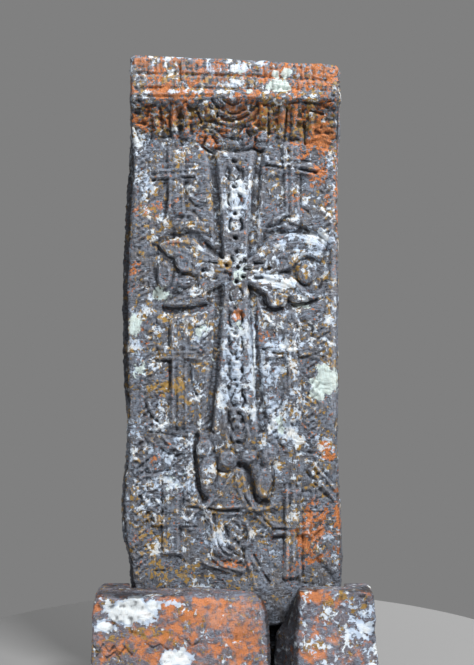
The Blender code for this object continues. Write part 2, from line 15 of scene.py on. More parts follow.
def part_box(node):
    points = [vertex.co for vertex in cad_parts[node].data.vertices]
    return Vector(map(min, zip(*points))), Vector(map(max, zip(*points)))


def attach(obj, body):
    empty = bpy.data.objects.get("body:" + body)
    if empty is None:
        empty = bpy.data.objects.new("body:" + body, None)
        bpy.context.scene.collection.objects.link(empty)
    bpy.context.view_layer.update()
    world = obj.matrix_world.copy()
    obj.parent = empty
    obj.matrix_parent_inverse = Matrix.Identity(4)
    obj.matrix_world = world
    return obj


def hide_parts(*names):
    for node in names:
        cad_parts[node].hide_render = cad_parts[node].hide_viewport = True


# The photograph's frame, and the camera that sees the slab's face as it does
PHOTO_COLUMNS, PHOTO_ROWS = 474, 665
FACE_Y = -0.110
STONE_FACE_Y = -0.285
CORNICE_Y = -0.176
CORNICE_ROW = 97
CAMERA_X, CAMERA_Z = 0.005, 1.224
CAMERA_DISTANCE = 3.6
FIELD_OF_VIEW = 34.9
SENSOR = 36.0
FOCAL_PIXELS = PHOTO_ROWS / 2 / math.tan(math.radians(FIELD_OF_VIEW / 2))

# The slab's mesh: points round one ring, and rings from foot to top
FACE_POINTS = 236
SIDE_POINTS = 10
BACK_POINTS = 30
RINGS = 690
CAP_RINGS = 8
MOST_TRIANGLES = 196000
ARRIS_DEPTH = 0.008
DEEPEST_CUT = 0.045
CORNICE_FOOT = 2.000
STONE_TOP = 0.41

# How far in from the slab's sides its top is measured, how far from its back its sides end, and
# the height above it that rays start from
TOP_INSET = 0.06
BACK_INSET = 0.014
RAY_HEIGHT = 9.0

# The base stones' mesh
STONE_GRAIN = 0.0042


# Numbers over many points


def smooth_step(start, end, value):
    share = np.clip((value - start) / (end - start), 0.0, 1.0)
    return share * share * (3 - 2 * share)


def cell_value(cells, seed):
    """A value from -1 to 1 for each whole-numbered cell, the same each run."""
    mixed = cells[:, 0] * 73856093 ^ cells[:, 1] * 19349663 ^ cells[:, 2] * 83492791 ^ seed * 2654435761
    mixed = (mixed ^ (mixed >> 13)) * 1274126177
    mixed = (mixed ^ (mixed >> 16)) & 0xFFFFFF
    return mixed / 0x7FFFFF - 1.0


def soft_noise(points, scale, seed):
    """Smooth noise from -1 to 1 at each point, with bumps 1 / scale metres apart."""
    place = points * scale + 31.7
    cells = np.floor(place).astype(np.int64)
    share = place - cells
    share = share * share * (3 - 2 * share)
    total = np.zeros(len(points))
    for corner in range(8):
        step = np.array([corner & 1, corner >> 1 & 1, corner >> 2 & 1])
        weight = np.prod(np.where(step, share, 1 - share), axis=1)
        total += weight * cell_value(cells + step, seed)
    return total


def layered_noise(points, scale, layers, seed, fade=0.55):
    total, size = np.zeros(len(points)), 1.0
    for layer in range(layers):
        total += size * soft_noise(points, scale * 2.03**layer, seed + layer)
        size *= fade
    return total


def blurred(grid, times):
    """A grid softened by its neighbours, the edges held."""
    for _ in range(times):
        padded = np.pad(grid, 1, mode="edge")
        grid = (padded[:-2, 1:-1] + 2 * padded[1:-1, 1:-1] + padded[2:, 1:-1]) / 4
        padded = np.pad(grid, 1, mode="edge")
        grid = (padded[1:-1, :-2] + 2 * padded[1:-1, 1:-1] + padded[1:-1, 2:]) / 4
    return grid


def pixels_per_metre(face_y=FACE_Y):
    return FOCAL_PIXELS / (CAMERA_DISTANCE + face_y - FACE_Y)


def placed(column, row, face_y=FACE_Y):
    """The (x, z) of a spot on a face, from where it stands in the photograph's frame."""
    scale = pixels_per_metre(face_y)
    return (
        CAMERA_X + (column - PHOTO_COLUMNS / 2) / scale,
        CAMERA_Z + (PHOTO_ROWS / 2 - row) / scale,
    )


def in_photo(x, z, face_y=FACE_Y):
    """The (column, row) of a spot on a face, in the photograph's frame."""
    scale = pixels_per_metre(face_y)
    return PHOTO_COLUMNS / 2 + (x - CAMERA_X) * scale, PHOTO_ROWS / 2 - (z - CAMERA_Z) * scale


def on_cornice(column, row):
    """Where a spot seen on the cornice, which stands nearer, would be seen if it lay in the face."""
    nearer = (CAMERA_DISTANCE + CORNICE_Y - FACE_Y) / CAMERA_DISTANCE
    middle_column, middle_row = PHOTO_COLUMNS / 2, PHOTO_ROWS / 2
    return middle_column + (column - middle_column) * nearer, middle_row + (row - middle_row) * nearer


def distance_to_path(column, row, path):
    """How far each spot lies from a path of straight runs, all in the photograph's pixels."""
    nearest = np.full_like(column, 1e9)
    for (c0, r0), (c1, r1) in zip(path, path[1:]):
        dc, dr = c1 - c0, r1 - r0
        share = np.clip(((column - c0) * dc + (row - r0) * dr) / (dc * dc + dr * dr), 0.0, 1.0)
        nearest = np.minimum(nearest, np.hypot(column - c0 - share * dc, row - r0 - share * dr))
    return nearest


# Strokes and rings on the face: sizes are in the photograph's pixels, depths in millimetres


class Face:
    """The slab's face as a grid of x and z, with the height of what is carved on it, in metres."""

    def __init__(self, x, z):
        self.column, self.row = in_photo(x, z)
        self.height = np.zeros_like(x)
        self.dark = np.zeros_like(x)
        self.across = self.column.mean(axis=0)
        self.up = -self.row.mean(axis=1)

    def window(self, points, margin):
        """The part of the grid that holds the points, with a margin round them."""
        columns, rows = zip(*points)
        first, last = np.searchsorted(self.across, (min(columns) - margin, max(columns) + margin))
        low, high = np.searchsorted(self.up, (-max(rows) - margin, -min(rows) + margin))
        return slice(low, high), slice(first, last)

    def add(self, part, away, half_width, millimetres):
        """Raises, or where millimetres is below 0 cuts, what lies within half_width of a line."""
        share = 1 - smooth_step(half_width * 0.1, half_width * 1.7, away)
        self.height[part] += share * millimetres / 1000
        # Deep cuts also take painted shade, kept in dark
        if millimetres < -6:
            self.dark[part] = np.maximum(self.dark[part], share * min(1.0, (-millimetres - 6) / 10))

    def line(self, points, half_width, millimetres):
        part = self.window(points, half_width * 2 + 6)
        away = distance_to_path(self.column[part], self.row[part], points)
        self.add(part, away, half_width, millimetres)

    def curve(self, points, half_width, millimetres):
        """A line through the points that bends smoothly at each."""
        padded = [points[0], *points, points[-1]]
        path = []
        for p0, p1, p2, p3 in zip(padded, padded[1:], padded[2:], padded[3:]):
            for t in (0.0, 0.33, 0.67):
                path.append(tuple(
                    0.5 * (2 * b + (c - a) * t + (2 * a - 5 * b + 4 * c - d) * t * t
                           + (3 * b - a - 3 * c + d) * t**3)
                    for a, b, c, d in zip(p0, p1, p2, p3)
                ))
        self.line([*path, points[-1]], half_width, millimetres)

    def ring(self, column, row, radius, half_width, millimetres, squash=1.0):
        part = self.window([(column, row)], radius * max(1.0, squash) + half_width * 2 + 6)
        away = np.hypot(self.column[part] - column, (self.row[part] - row) / squash)
        self.add(part, np.abs(away - radius), half_width, millimetres)

    def dot(self, column, row, radius, millimetres, squash=1.0):
        part = self.window([(column, row)], radius * max(1.0, squash) * 2 + 6)
        away = np.hypot(self.column[part] - column, (self.row[part] - row) / squash)
        self.add(part, away, radius, millimetres)


UPPER_EYES = ((233, 161.5), (233.4, 186.4), (234.5, 214), (235.3, 238), (236.7, 252))
LOWER_EYES = ((235, 307.6), (235, 333), (237, 359), (237, 386), (238.7, 413), (238.7, 442))
HUB_EYES = (
    (232, 258.5), (244.7, 261), (238, 267.5), (229.8, 274.5), (242.8, 277), (236, 282.4),
    (225.5, 265.6), (249.4, 269.4), (268.9, 268.8), (203, 270.5),
)
HUB_SLOTS = ((213, 262.3), (258.6, 262.9), (259, 277))
LOOPS = ((173.4, 232.3, 9.5), (200, 233.8, 8.6), (225, 235.7, 7.6), (295, 235.8, 8.0), (320, 235.5, 9.0),
         (348, 236.7, 9.6), (374, 236, 10.5), (400, 238, 10.5), (425, 238, 11.5))


def carve_plait(face):
    """The looped band on the great cross: rims, a ring between two drilled eyes, slits in each ring."""
    outer_rims = (
        [(214, 150), (218, 200), (224.5, 250), (226, 262)],
        [(251, 150), (247, 200), (246.5, 250), (247, 262)],
        [(222.5, 286), (219.5, 340), (216.5, 400), (212.5, 434)],
        [(247.5, 286), (251, 340), (254, 400), (260, 436)],
    )
    inner_rims = (
        [(219, 152), (222.5, 200), (228, 246)], [(246, 152), (242.5, 200), (242, 246)],
        [(226.5, 290), (224, 340), (221, 400), (218, 430)],
        [(243.5, 290), (247, 340), (249.5, 400), (255, 430)],
    )
    face.line([(253.6, 322), (254.8, 362), (255.6, 404)], 1.1, 4.5)
    for rims, rise in ((outer_rims, 3.4), (inner_rims, 1.8)):
        for rim in rims:
            face.line(rim, 1.3, rise)
    for row, column, radius in LOOPS:
        face.ring(column, row, radius, 1.7, 3.2, squash=1.25)
        for side in (-1, 1):
            end = column + side * 4.6
            face.curve([(end, row - 6), (column + side * 7.0, row), (end, row + 6)], 1.25, -8.5)
        face.dot(column, row, 3.2, 2.4, squash=1.5)
        face.line([(column - 3, row - 5), (column + 3, row + 5)], 1.2, 1.8)
    for column, row in UPPER_EYES + LOWER_EYES:
        face.dot(column, row, 2.0, -15)
        face.ring(column, row, 4.4, 1.1, 2.0)
    for column, row in HUB_EYES:
        face.dot(column, row, 2.0, -15)
        face.ring(column, row, 4.0, 1.0, 1.6)
    for column, row in HUB_SLOTS:
        face.line([(column - 3.6, row), (column + 3.6, row + 0.6)], 1.4, -13)


def carve_arms(face):
    """Strands along the side arms, the curls of their leaves, and the undercut below them."""
    strands = (
        [(228, 262), (214, 256), (202, 247), (190, 243), (172, 242), (160, 245)],
        [(226, 267), (212, 263), (196, 256), (182, 250), (168, 247)],
        [(224, 271), (208, 269), (196, 266), (186, 257), (175, 253)],
        [(226, 276), (214, 282), (204, 287), (200, 294), (186, 297), (166, 303)],
        [(226, 280), (216, 288), (206, 298), (190, 302), (172, 305)],
        [(200, 272), (198, 282), (190, 289), (182, 290)],
        [(248, 261), (258, 252), (267, 241), (280, 238), (296, 235), (318, 238), (331, 247)],
        [(249, 265), (262, 257), (274, 248), (290, 244), (308, 243), (324, 249)],
        [(250, 269), (264, 264), (278, 257), (292, 252), (304, 252), (318, 258)],
        [(251, 272), (264, 272), (276, 270), (290, 270)],
        [(258, 258), (270, 247), (284, 241), (302, 239), (322, 245)],
        [(262, 262), (276, 252), (292, 247), (310, 248)],
        [(252, 277), (266, 277), (282, 281), (298, 290), (314, 299)],
        [(251, 281), (264, 285), (278, 288), (290, 294), (300, 300)],
        [(256, 286), (266, 291), (270, 299), (276, 305)],
    )
    for column, row, radius, squash in ((306.5, 275, 13, 1.1), (164, 274, 9.5, 1.8), (186, 281, 10, 0.9)):
        face.ring(column, row, radius, 3.4, 10, squash)
    for points in strands:
        face.curve(points, 1.5, 5.0)
    lobes = (
        (184, 265, 6, 0.9), (283, 262, 6.5, 0.9), (306.5, 275, 8.5, 1.25), (276, 300, 6.5, 1.0),
        (186, 281, 7.5, 0.7), (164, 274, 6, 1.9),
    )
    for column, row, radius, squash in lobes:
        face.ring(column, row, radius, 1.4, 2.6, squash)
        face.ring(column, row, radius * 0.6, 1.1, -2.2, squash)
    for points in (
        [(302, 262), (303, 274), (307, 287)], [(311, 264), (313, 275), (311, 286)],
        [(178, 281), (186, 283), (194, 280)], [(160, 262), (160, 274), (163, 286)],
        [(254, 289), (262, 292), (270, 297)], [(180, 262), (185, 268), (191, 266)],
    ):
        face.curve(points, 1.1, 2.4)
    grooves = (
        ([(159, 247), (166, 254), (174, 259), (177, 268), (183, 273), (191, 273)], 1.8, -9),
        ([(163, 307), (176, 307.5), (190, 307), (205, 304.5)], 2.0, -12),
        ([(206, 300), (209, 293), (218, 287)], 1.6, -7),
        ([(207, 243), (214, 250), (222, 255)], 2.4, -8),
        ([(250, 285.5), (258, 290), (265, 295), (267, 303), (274, 308.5), (282, 308)], 2.2, -13),
        ([(289, 300.5), (294, 304), (304, 303), (316, 300)], 2.0, -13),
        ([(296, 263), (294, 271), (298, 281), (308, 286)], 1.5, -6),
        ([(318, 268), (322, 278), (320, 288)], 1.5, -6),
        ([(191, 253), (201, 257)], 1.3, -6), ([(262, 244), (274, 249)], 1.3, -5),
        ([(148, 257), (154, 268), (157, 283)], 1.7, -6), ([(173, 263), (174, 276), (170, 288)], 1.5, -5),
        ([(151, 283), (157, 292)], 1.3, -5), ([(196, 276), (199, 283), (196, 290)], 1.3, -6),
        ([(266, 257), (280, 250), (300, 248)], 1.2, -4), ([(214, 259), (200, 252), (186, 247)], 1.2, -4),
        ([(270, 274), (284, 275), (296, 284)], 1.2, -5),
    )
    for points, half_width, millimetres in grooves:
        face.curve(points, half_width, millimetres)


def carve_small_crosses(face):
    """Double lines on the small crosses, the deep slits under their arms and the frames round them."""
    lines = (
        ([(172, 180), (173, 214)], 1.1, -3), ([(180, 180), (181, 214)], 1.1, -3),
        ([(152, 174), (195, 172)], 1.0, -4), ([(153, 180.5), (168, 179.5)], 1.2, -11),
        ([(183, 178), (194, 177.5)], 1.2, -11), ([(166, 183), (166.5, 196), (164, 212)], 2.2, -5.5),
        ([(186, 182), (185.5, 196)], 2.0, -6), ([(146, 163), (170, 161), (194, 163)], 1.2, -4),
        ([(288, 150), (289, 213)], 1.0, -4), ([(294, 150), (295, 213)], 1.0, -4),
        ([(267, 165.5), (282, 168.5)], 1.5, -12), ([(299, 169.5), (316, 173)], 1.5, -12),
        ([(302, 161), (316, 163)], 1.3, -9), ([(284, 172), (284, 212)], 1.2, -5),
        ([(301, 176), (301, 210)], 1.2, -5), ([(176, 365), (177, 430)], 1.1, -4),
        ([(184, 365), (184, 430)], 1.0, -3), ([(157, 351), (196, 350)], 1.0, -4),
        ([(157, 360.5), (170, 361)], 1.5, -10), ([(170, 362), (170, 385)], 1.5, -8),
        ([(190, 365), (192, 385), (197, 396)], 1.3, -7), ([(169, 320), (169, 345)], 1.5, -7),
        ([(263, 349), (280, 354), (290, 355)], 1.3, -8), ([(301, 357.5), (312, 355), (322, 352)], 1.2, -7),
        ([(287, 362), (287, 380)], 1.3, -6), ([(290, 322), (290, 345)], 1.2, -4),
        ([(297, 324), (298, 345)], 1.2, -4), ([(270, 318), (278, 325), (287, 319)], 1.4, -6),
        ([(301, 321), (311, 326), (312, 336)], 1.4, -7), ([(295, 362), (296, 428)], 1.0, -4),
        ([(153, 527), (163, 527)], 1.6, -11), ([(184, 526), (196, 527)], 1.4, -7),
        ([(162, 490), (162, 550)], 1.3, -6), ([(170, 490), (171, 550)], 1.0, -4),
        ([(179, 490), (180, 550)], 1.2, -5), ([(284, 484), (284, 520), (283, 578)], 1.2, -4),
        ([(290, 484), (290, 578)], 1.0, -4), ([(297, 484), (297, 578)], 1.0, -4),
        ([(303, 520), (303, 576)], 1.2, -5), ([(274, 528.5), (287, 528.5)], 1.5, -10),
        ([(274, 537), (287, 537.5)], 1.5, -10), ([(297, 487), (314, 487), (316, 508)], 1.2, -5),
        ([(302, 492), (311, 492), (311, 506)], 1.0, -4), ([(298, 512), (322, 512)], 1.2, -5),
    )
    for points, half_width, millimetres in lines:
        face.curve(points, half_width * 1.15, millimetres)
    face.dot(192.5, 187.5, 5.0, 11)
    face.ring(192.5, 187.5, 7.5, 1.3, -3.5)
    face.curve([(190, 199), (193, 204), (199, 206.5), (206, 203)], 1.6, -7)
    face.curve([(189, 196), (195, 199), (202, 200), (207, 197)], 2.2, 6)
    face.dot(191, 228, 11.0, 13, squash=0.95)
    for drop in range(5):
        row = 217 + drop * 4
        half = 4 + drop * 2.6
        face.curve([(191 - half, row + 2), (191, row - 1), (191 + half, row + 1)], 1.1, -3.4)
    face.curve([(176, 237), (181, 224), (190, 213.5), (200, 221), (207, 233)], 2.0, 5.5)
    face.curve([(194, 212), (204, 225), (211, 238)], 2.0, -8)
    face.curve([(174, 238), (176, 228), (183, 217)], 1.6, -5)
    face.curve([(267, 227), (278, 225), (286, 221), (293, 226), (308, 228.5)], 1.7, -8)
    face.curve([(268, 222), (277, 219), (287, 214.5), (296, 219), (303, 223)], 1.9, 6.5)
    face.curve([(300, 209), (308, 216), (314, 226)], 1.8, 5.5)
    face.curve([(303, 208), (311, 215)], 1.3, -5)


def ridges_of_small_crosses(face):
    """The raised rims of the small crosses' shafts and arms."""
    shafts = (
        (169, 176, 183, 148, 214), (285, 291.5, 298, 148, 212), (173, 179.5, 186, 326, 430),
        (289, 294.5, 300, 326, 428), (164, 171, 178, 488, 552), (287, 293.5, 300, 486, 578),
    )
    for left, middle, right, top, foot in shafts:
        for column, rise in ((left, 5.2), (middle, 3.4), (right, 5.2)):
            face.line([(column, top), (column + 0.5, foot)], 1.4, rise)
    arms = (
        (152, 195, 165, 176, -1), (266, 318, 160, 171, 4), (156, 196, 346, 358, 0),
        (264, 322, 345, 355, -2), (153, 196, 517, 524, 1), (273, 308, 520, 533, 0),
    )
    for left, right, high, low, tilt in arms:
        for row in (high, (high + low) / 2, low):
            face.line([(left, row - tilt), (right, row + tilt)], 1.3, 3.4)


def carve_foot(face):
    """The grooves that free the leaves, the stems' rims, the knot's dark loops and the scrolls beside."""
    grooves = (
        ([(197, 436), (194.5, 450), (196, 470), (199, 488), (204, 500)], 2.6, -17),
        ([(240, 465), (247, 468), (250, 477), (253, 489), (259, 499), (267, 503)], 3.3, -21),
        ([(206, 499), (212, 489), (217, 476), (217, 462), (214, 452)], 1.7, -6.5),
        ([(219, 471), (229, 472), (236, 467)], 1.6, -8),
        ([(259, 464), (270, 470), (273, 485), (270, 498)], 1.2, -6), ([(186, 506), (200, 508)], 1.3, -8),
        ([(208, 508), (222, 511), (238, 510)], 1.6, -12), ([(242, 500), (250, 505)], 1.2, -6),
        ([(213, 515), (216, 530), (219, 545)], 1.6, -8), ([(226, 527), (228, 536), (233, 541)], 1.9, -11),
        ([(236, 540), (242, 548), (244, 556)], 2.0, -12), ([(222, 545), (232, 550), (240, 556)], 1.4, -7),
        ([(224, 561), (236, 565), (243, 560)], 1.5, -7), ([(216, 569), (230, 572), (240, 575)], 1.5, -4),
        ([(254, 555), (261, 568), (269, 580)], 1.8, -13), ([(260, 512), (268, 522), (276, 529)], 1.6, -9),
        ([(234, 476), (234, 486), (238, 494)], 1.3, -3.5),
        ([(229, 474), (222, 486), (216, 497)], 1.3, -4), ([(266, 415), (273, 432), (283, 448)], 1.8, -9),
        ([(158, 444), (165, 452), (178, 456)], 1.6, -8), ([(146, 404), (152, 416), (159, 423)], 1.6, -9),
        ([(150, 432), (166, 434), (186, 438)], 1.4, -7), ([(146, 473), (157, 472), (170, 470)], 1.4, -8),
        ([(139, 495), (146, 508), (153, 520)], 1.6, -8), ([(160, 500), (150, 492), (142, 494)], 1.3, -6),
        ([(183, 490), (184, 504)], 1.4, -8), ([(249, 415), (250, 432)], 1.6, -9),
        ([(229, 415), (227, 430), (231, 438)], 1.6, -9), ([(242, 395), (246, 402)], 1.4, -7),
        ([(155, 571), (165, 571)], 1.3, -8), ([(178, 556), (186, 562)], 1.3, -6),
        ([(309, 452), (322, 470), (336, 487)], 1.6, -5), ([(306, 470), (318, 488), (332, 500)], 1.6, -5),
        ([(294, 455), (304, 452), (320, 455)], 1.4, -5), ([(318, 560), (328, 572), (334, 580)], 2.4, -9),
    )
    for points, half_width, millimetres in grooves:
        face.curve(points, half_width, millimetres * 0.9)
    ridges = (
        [(242, 466), (244, 480), (248, 497), (257, 509), (267, 519), (278, 531)],
        [(237, 472), (239, 484), (243, 499), (252, 511), (263, 522), (274, 533)],
        [(237, 468), (228, 480), (220, 494), (205, 507)],
        [(185, 504), (205, 506.5), (222, 507.5), (240, 506), (256, 509)],
        [(256, 509), (268, 511), (280, 506)],
        [(207, 509), (212, 522), (215, 538), (222, 552), (238, 560)],
        [(226, 526), (233, 519), (241, 526), (240, 538), (232, 544)],
        [(214, 558), (226, 566), (242, 568), (250, 560)],
        [(210, 511), (215, 524), (218, 538), (226, 550), (240, 558)],
        [(231, 545), (240, 549), (247, 556), (250, 566)],
        [(221, 527), (221, 541), (228, 552), (238, 549), (243, 540)],
        [(247, 522), (250, 534), (247, 546)], [(150, 440), (162, 446), (172, 448), (182, 444)],
        [(163, 436), (172, 446), (186, 452)], [(257, 508), (266, 508), (276, 504)],
        [(243, 500), (250, 505), (257, 509)], [(201, 505), (194, 500), (186, 498)],
        [(201, 507), (194, 513), (189, 520)], [(309, 469), (322, 484), (338, 503)],
        [(313, 463), (326, 478), (339, 492)], [(144, 497), (150, 507), (160, 513)],
        [(146, 494), (155, 497), (162, 506)], [(146, 476), (158, 475), (172, 473), (184, 468)],
        [(134, 458), (146, 463), (152, 472)], [(205, 563), (218, 567), (234, 573)],
        [(186, 470), (188, 482), (184, 496)], [(252, 556), (262, 572), (270, 584)],
        [(246, 556), (252, 570), (256, 584)],
    )
    for points in ridges:
        face.curve(points, 1.6, 7.5)
    for column, row, radius in ((229, 460, 7.5), (248, 460.5, 6.5), (271, 457, 5.5), (205.5, 447, 6.5)):
        face.dot(column, row, radius * 0.8, 6.0)
        face.ring(column, row, radius, 1.5, 3.2)
        face.ring(column, row, radius * 0.5, 1.1, -2.4)
    for points in (
        [(212, 432), (215, 444), (221, 452)], [(260, 436), (259, 446), (254, 453)],
        [(228, 428), (227, 440), (233, 448), (241, 449), (249, 441), (248, 428)],
    ):
        face.curve(points, 1.7, 4.5)
    face.dot(260.5, 483, 7.5, 7, squash=2.0)
    face.dot(206, 474, 6.5, 5, squash=2.6)
    face.curve([(271, 463), (274, 478), (272, 496)], 1.4, -6)
    face.curve([(231, 432), (231, 440), (235, 444)], 1.5, -6)
    face.curve([(246, 432), (245, 439), (242, 444)], 1.5, -6)
    for column, top, foot in ((203, 460, 494), (209, 460, 490), (258, 474, 500), (265, 472, 502)):
        face.line([(column, top), (column - 1, foot)], 1.3, 2.4)


def carve_cornice(face):
    """Two rows of worn strokes on the cornice, and the folds, bars and rings of the cove."""
    dice = np.random.default_rng(11)
    for top, foot in ((60.5, 71.5), (77.5, 88.0)):
        column = 138.0
        while column < 328:
            width = dice.uniform(4.5, 8.0)
            fall = (column - 130) * 0.035 if top < 70 else (column - 130) * 0.012
            lean = dice.uniform(-0.8, 0.8)
            high, low = top + fall, foot + fall
            bars = [[(column, high), (column + lean, low)]]
            if dice.random() < 0.75:
                bars.append([(column + width, high), (column + width - lean, low)])
            if dice.random() < 0.7:
                level = dice.choice([high, (high + low) / 2, low])
                bars.append([(column, level), (column + width, level + dice.uniform(-2, 2))])
            depth = dice.uniform(1.5, 5.0)
            for points in bars:
                face.line([on_cornice(*point) for point in points], 1.3, -depth)
            column += width + dice.uniform(4.0, 7.5)
    rule = [(132, 73), (200, 74.5), (262, 76.5), (330, 80)]
    face.line([on_cornice(*point) for point in rule], 1.5, -7.5)
    face.line([(140, 100.5), (180, 101.5), (212, 100)], 1.5, -8)
    face.line([(136, 91.5), (200, 92), (262, 93), (334, 94.5)], 1.0, -4)
    for radius in (9, 13, 17, 21):
        arc = [
            (233 + radius * 1.25 * math.cos(math.radians(a)), 99 + radius * math.sin(math.radians(a)))
            for a in range(20, 165, 16)
        ]
        face.line(arc, 1.5, -5)
    bars = (
        ([(161, 112), (163, 129)], -7), ([(181, 116), (180, 137)], -6), ([(196, 108), (202, 124)], -5),
        ([(258, 108), (259, 122)], -6), ([(268, 112), (269, 134)], -9), ([(286, 112), (284, 142)], -8),
        ([(304, 124), (305, 144)], -9), ([(150, 112), (145, 126)], -6), ([(170, 122), (172, 138)], -5),
        ([(188, 112), (192, 134)], -6), ([(212, 128), (224, 138), (238, 140)], -7),
        ([(206, 138), (202, 146), (212, 152)], -10), ([(255, 149), (262, 151)], -11),
        ([(305, 106), (318, 108), (332, 104)], -8), ([(310, 114), (322, 116)], -10),
        ([(292, 126), (304, 128)], -6), ([(140, 104), (146, 110), (156, 108)], -6),
        ([(160, 138), (172, 136), (176, 148)], -5), ([(312, 132), (328, 134)], -6),
    )
    for points, millimetres in bars:
        face.line(points, 1.5, millimetres)
    for _ in range(130):
        column, row = dice.uniform(134, 334), dice.uniform(104, 142)
        lean, reach = dice.normal(0.0, 3.0), dice.uniform(3.0, 9.0)
        bend = dice.uniform(-2.5, 2.5)
        points = [(column - lean, row - reach), (column + bend, row), (column + lean, row + reach)]
        if row < 112 or dice.random() < 0.8:
            fall = lean * 0.4
            points = [(column - reach, row - fall), (column, row + bend), (column + reach, row + fall)]
        face.curve(points, dice.uniform(1.0, 1.7), dice.choice([-4.0, -3.0, 2.5, 4.0]))
    for _ in range(190):
        column = dice.uniform(134, 210) if dice.random() < 0.55 else dice.uniform(210, 336)
        row, radius = dice.uniform(104, 143), dice.uniform(1.4, 3.6)
        rise, squash = dice.uniform(1.5, 4.5), dice.uniform(0.6, 1.2)
        face.dot(column, row, radius, rise, squash)
    face.dot(331, 100, 2.2, -12)
    face.dot(208, 113, 8.5, 5)
    face.ring(208, 113, 10.5, 1.4, -6)
    for column in (244, 262):
        face.ring(column, 138, 6.5, 1.3, -6, squash=1.2)
        face.dot(column, 138, 2.5, 4, squash=1.3)
    for points in ([(214, 133), (224, 142), (234, 143)], [(216, 128), (228, 134), (236, 137)]):
        face.line(points, 1.3, 3.5)


def worn_interlace(face):
    """Plaited strands down the borders and beside the foot, worn low."""
    dice = np.random.default_rng(5)
    plaits = (
        (141, 152, 300, 6, 19, 2.8), (148, 310, 430, 7, 21, 2.6), (327, 150, 232, 6, 20, 2.6),
        (322, 310, 360, 7, 22, 2.6), (139, 440, 580, 6, 23, 2.8), (203, 320, 430, 5, 20, 2.4),
        (273, 366, 440, 6, 21, 2.6), (311, 362, 450, 6, 24, 2.6), (190, 440, 500, 4, 18, 2.4),
        (318, 452, 560, 7, 25, 2.2), (160, 380, 430, 7, 22, 2.4), (152, 446, 520, 9, 26, 3.0),
        (178, 446, 500, 8, 24, 3.0),
    )
    for middle, top, foot, swing, pitch, rise in plaits:
        for strand in range(3):
            row, start = top, 2 * math.pi * strand / 3
            while row < foot - 3:
                length = dice.uniform(0.45, 0.9) * pitch
                rows = np.linspace(row, min(foot, row + length), 5)
                points = [
                    (middle + swing * math.sin(start + 2 * math.pi * r / pitch), float(r)) for r in rows
                ]
                high = rise * dice.uniform(0.8, 2.0)
                face.line(points, dice.uniform(1.2, 1.9), high)
                face.line([(column + 2.6, r + 1.2) for column, r in points], 1.0, -0.7 * high)
                row += length + dice.uniform(0.0, 3.0)


def chisel_marks(face):
    """Short marks all over the face, level or upright in turn with where they are."""
    dice = np.random.default_rng(23)
    for _ in range(2600):
        column, row = dice.uniform(130, 338), dice.uniform(57, 586)
        level = math.sin(column * 0.061 + 2.0) * math.sin(row * 0.043 + 0.6) > -0.15
        angle = dice.normal(0.12 if level else 1.5, 0.30)
        reach = dice.uniform(2.0, 6.5)
        dc, dr = reach * math.cos(angle), reach * math.sin(angle)
        depth = dice.uniform(-2.6, -0.8) if dice.random() < 0.62 else dice.uniform(0.8, 2.0)
        face.line([(column - dc, row - dr), (column + dc, row + dr)], dice.uniform(0.8, 1.3), depth)
    for _ in range(150):
        column, row = dice.uniform(134, 334), dice.uniform(60, 584)
        face.dot(column, row, dice.uniform(1.0, 1.8), -dice.uniform(3.0, 7.0))


def run_out(depth, face, left, right, top, foot):
    """Levels the face between two rows: what ends there in a step runs out slowly instead."""
    first, last = np.searchsorted(face.across, (left, right))
    low, high = np.searchsorted(face.up, (-foot, -top))
    share = (np.arange(low, high + 1) - low) / (high - low)
    share = (share * share * (3 - 2 * share))[:, None]
    below, above = depth[low, first:last], depth[high, first:last]
    depth[low : high + 1, first:last] = below + (above - below) * share


def painted_shade_and_light(face):
    """Painted shade on the broken left arris, in the cove and on the slab's foot, and painted highlight
    along the right edge; the cove's shade stands for dirt as well.
    """
    from_edge = face.column - face.column[:, :1]
    upper = smooth_step(150, 170, face.row) * (1 - smooth_step(398, 406, face.row))
    lower = smooth_step(440, 470, face.row) * 0.5
    # Painted shade on the left arris, which turns away from the light
    arris = 0.95 * (upper + lower) * (1 - smooth_step(1.2, 4.8, from_edge))
    # Painted shade in the cove under the cornice, partly dirt
    cove = 0.32 * smooth_step(98, 104, face.row) * (1 - smooth_step(130, 152, face.row))
    # Painted highlight along the slab's right edge
    from_right = face.column[:, -1:] - face.column
    highlit_rows = smooth_step(185, 200, face.row) * (1 - smooth_step(400, 430, face.row))
    painted_highlight = 0.8 * highlit_rows * (1 - smooth_step(2.0, 8.0, from_right))
    # The last term is painted shade on the slab's foot, down between the stones
    return arris + cove - painted_highlight + 0.75 * smooth_step(588, 612, face.row)


def worn_left_arris(face):
    """The left arris, broken back along the upper slab so that it turns away from the light."""
    from_edge = face.column - face.column[:, :1]
    upper = smooth_step(140, 160, face.row) * (1 - smooth_step(396, 408, face.row))
    lower = smooth_step(430, 460, face.row) * 0.4
    face.height -= (0.016 * upper + 0.010 * lower) * (1 - smooth_step(0.0, 7.0, from_edge))


# Meshes


def cad_tree(node):
    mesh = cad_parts[node].data
    corners = [vert.co for vert in mesh.vertices]
    return BVHTree.FromPolygons(corners, [tuple(face.vertices) for face in mesh.polygons])


def struck(tree, origin, direction, axis, otherwise):
    """Where a ray first meets the solid, along one axis; otherwise where it meets nothing."""
    hit = tree.ray_cast(Vector(origin), Vector(direction))[0]
    return otherwise if hit is None else hit[axis]


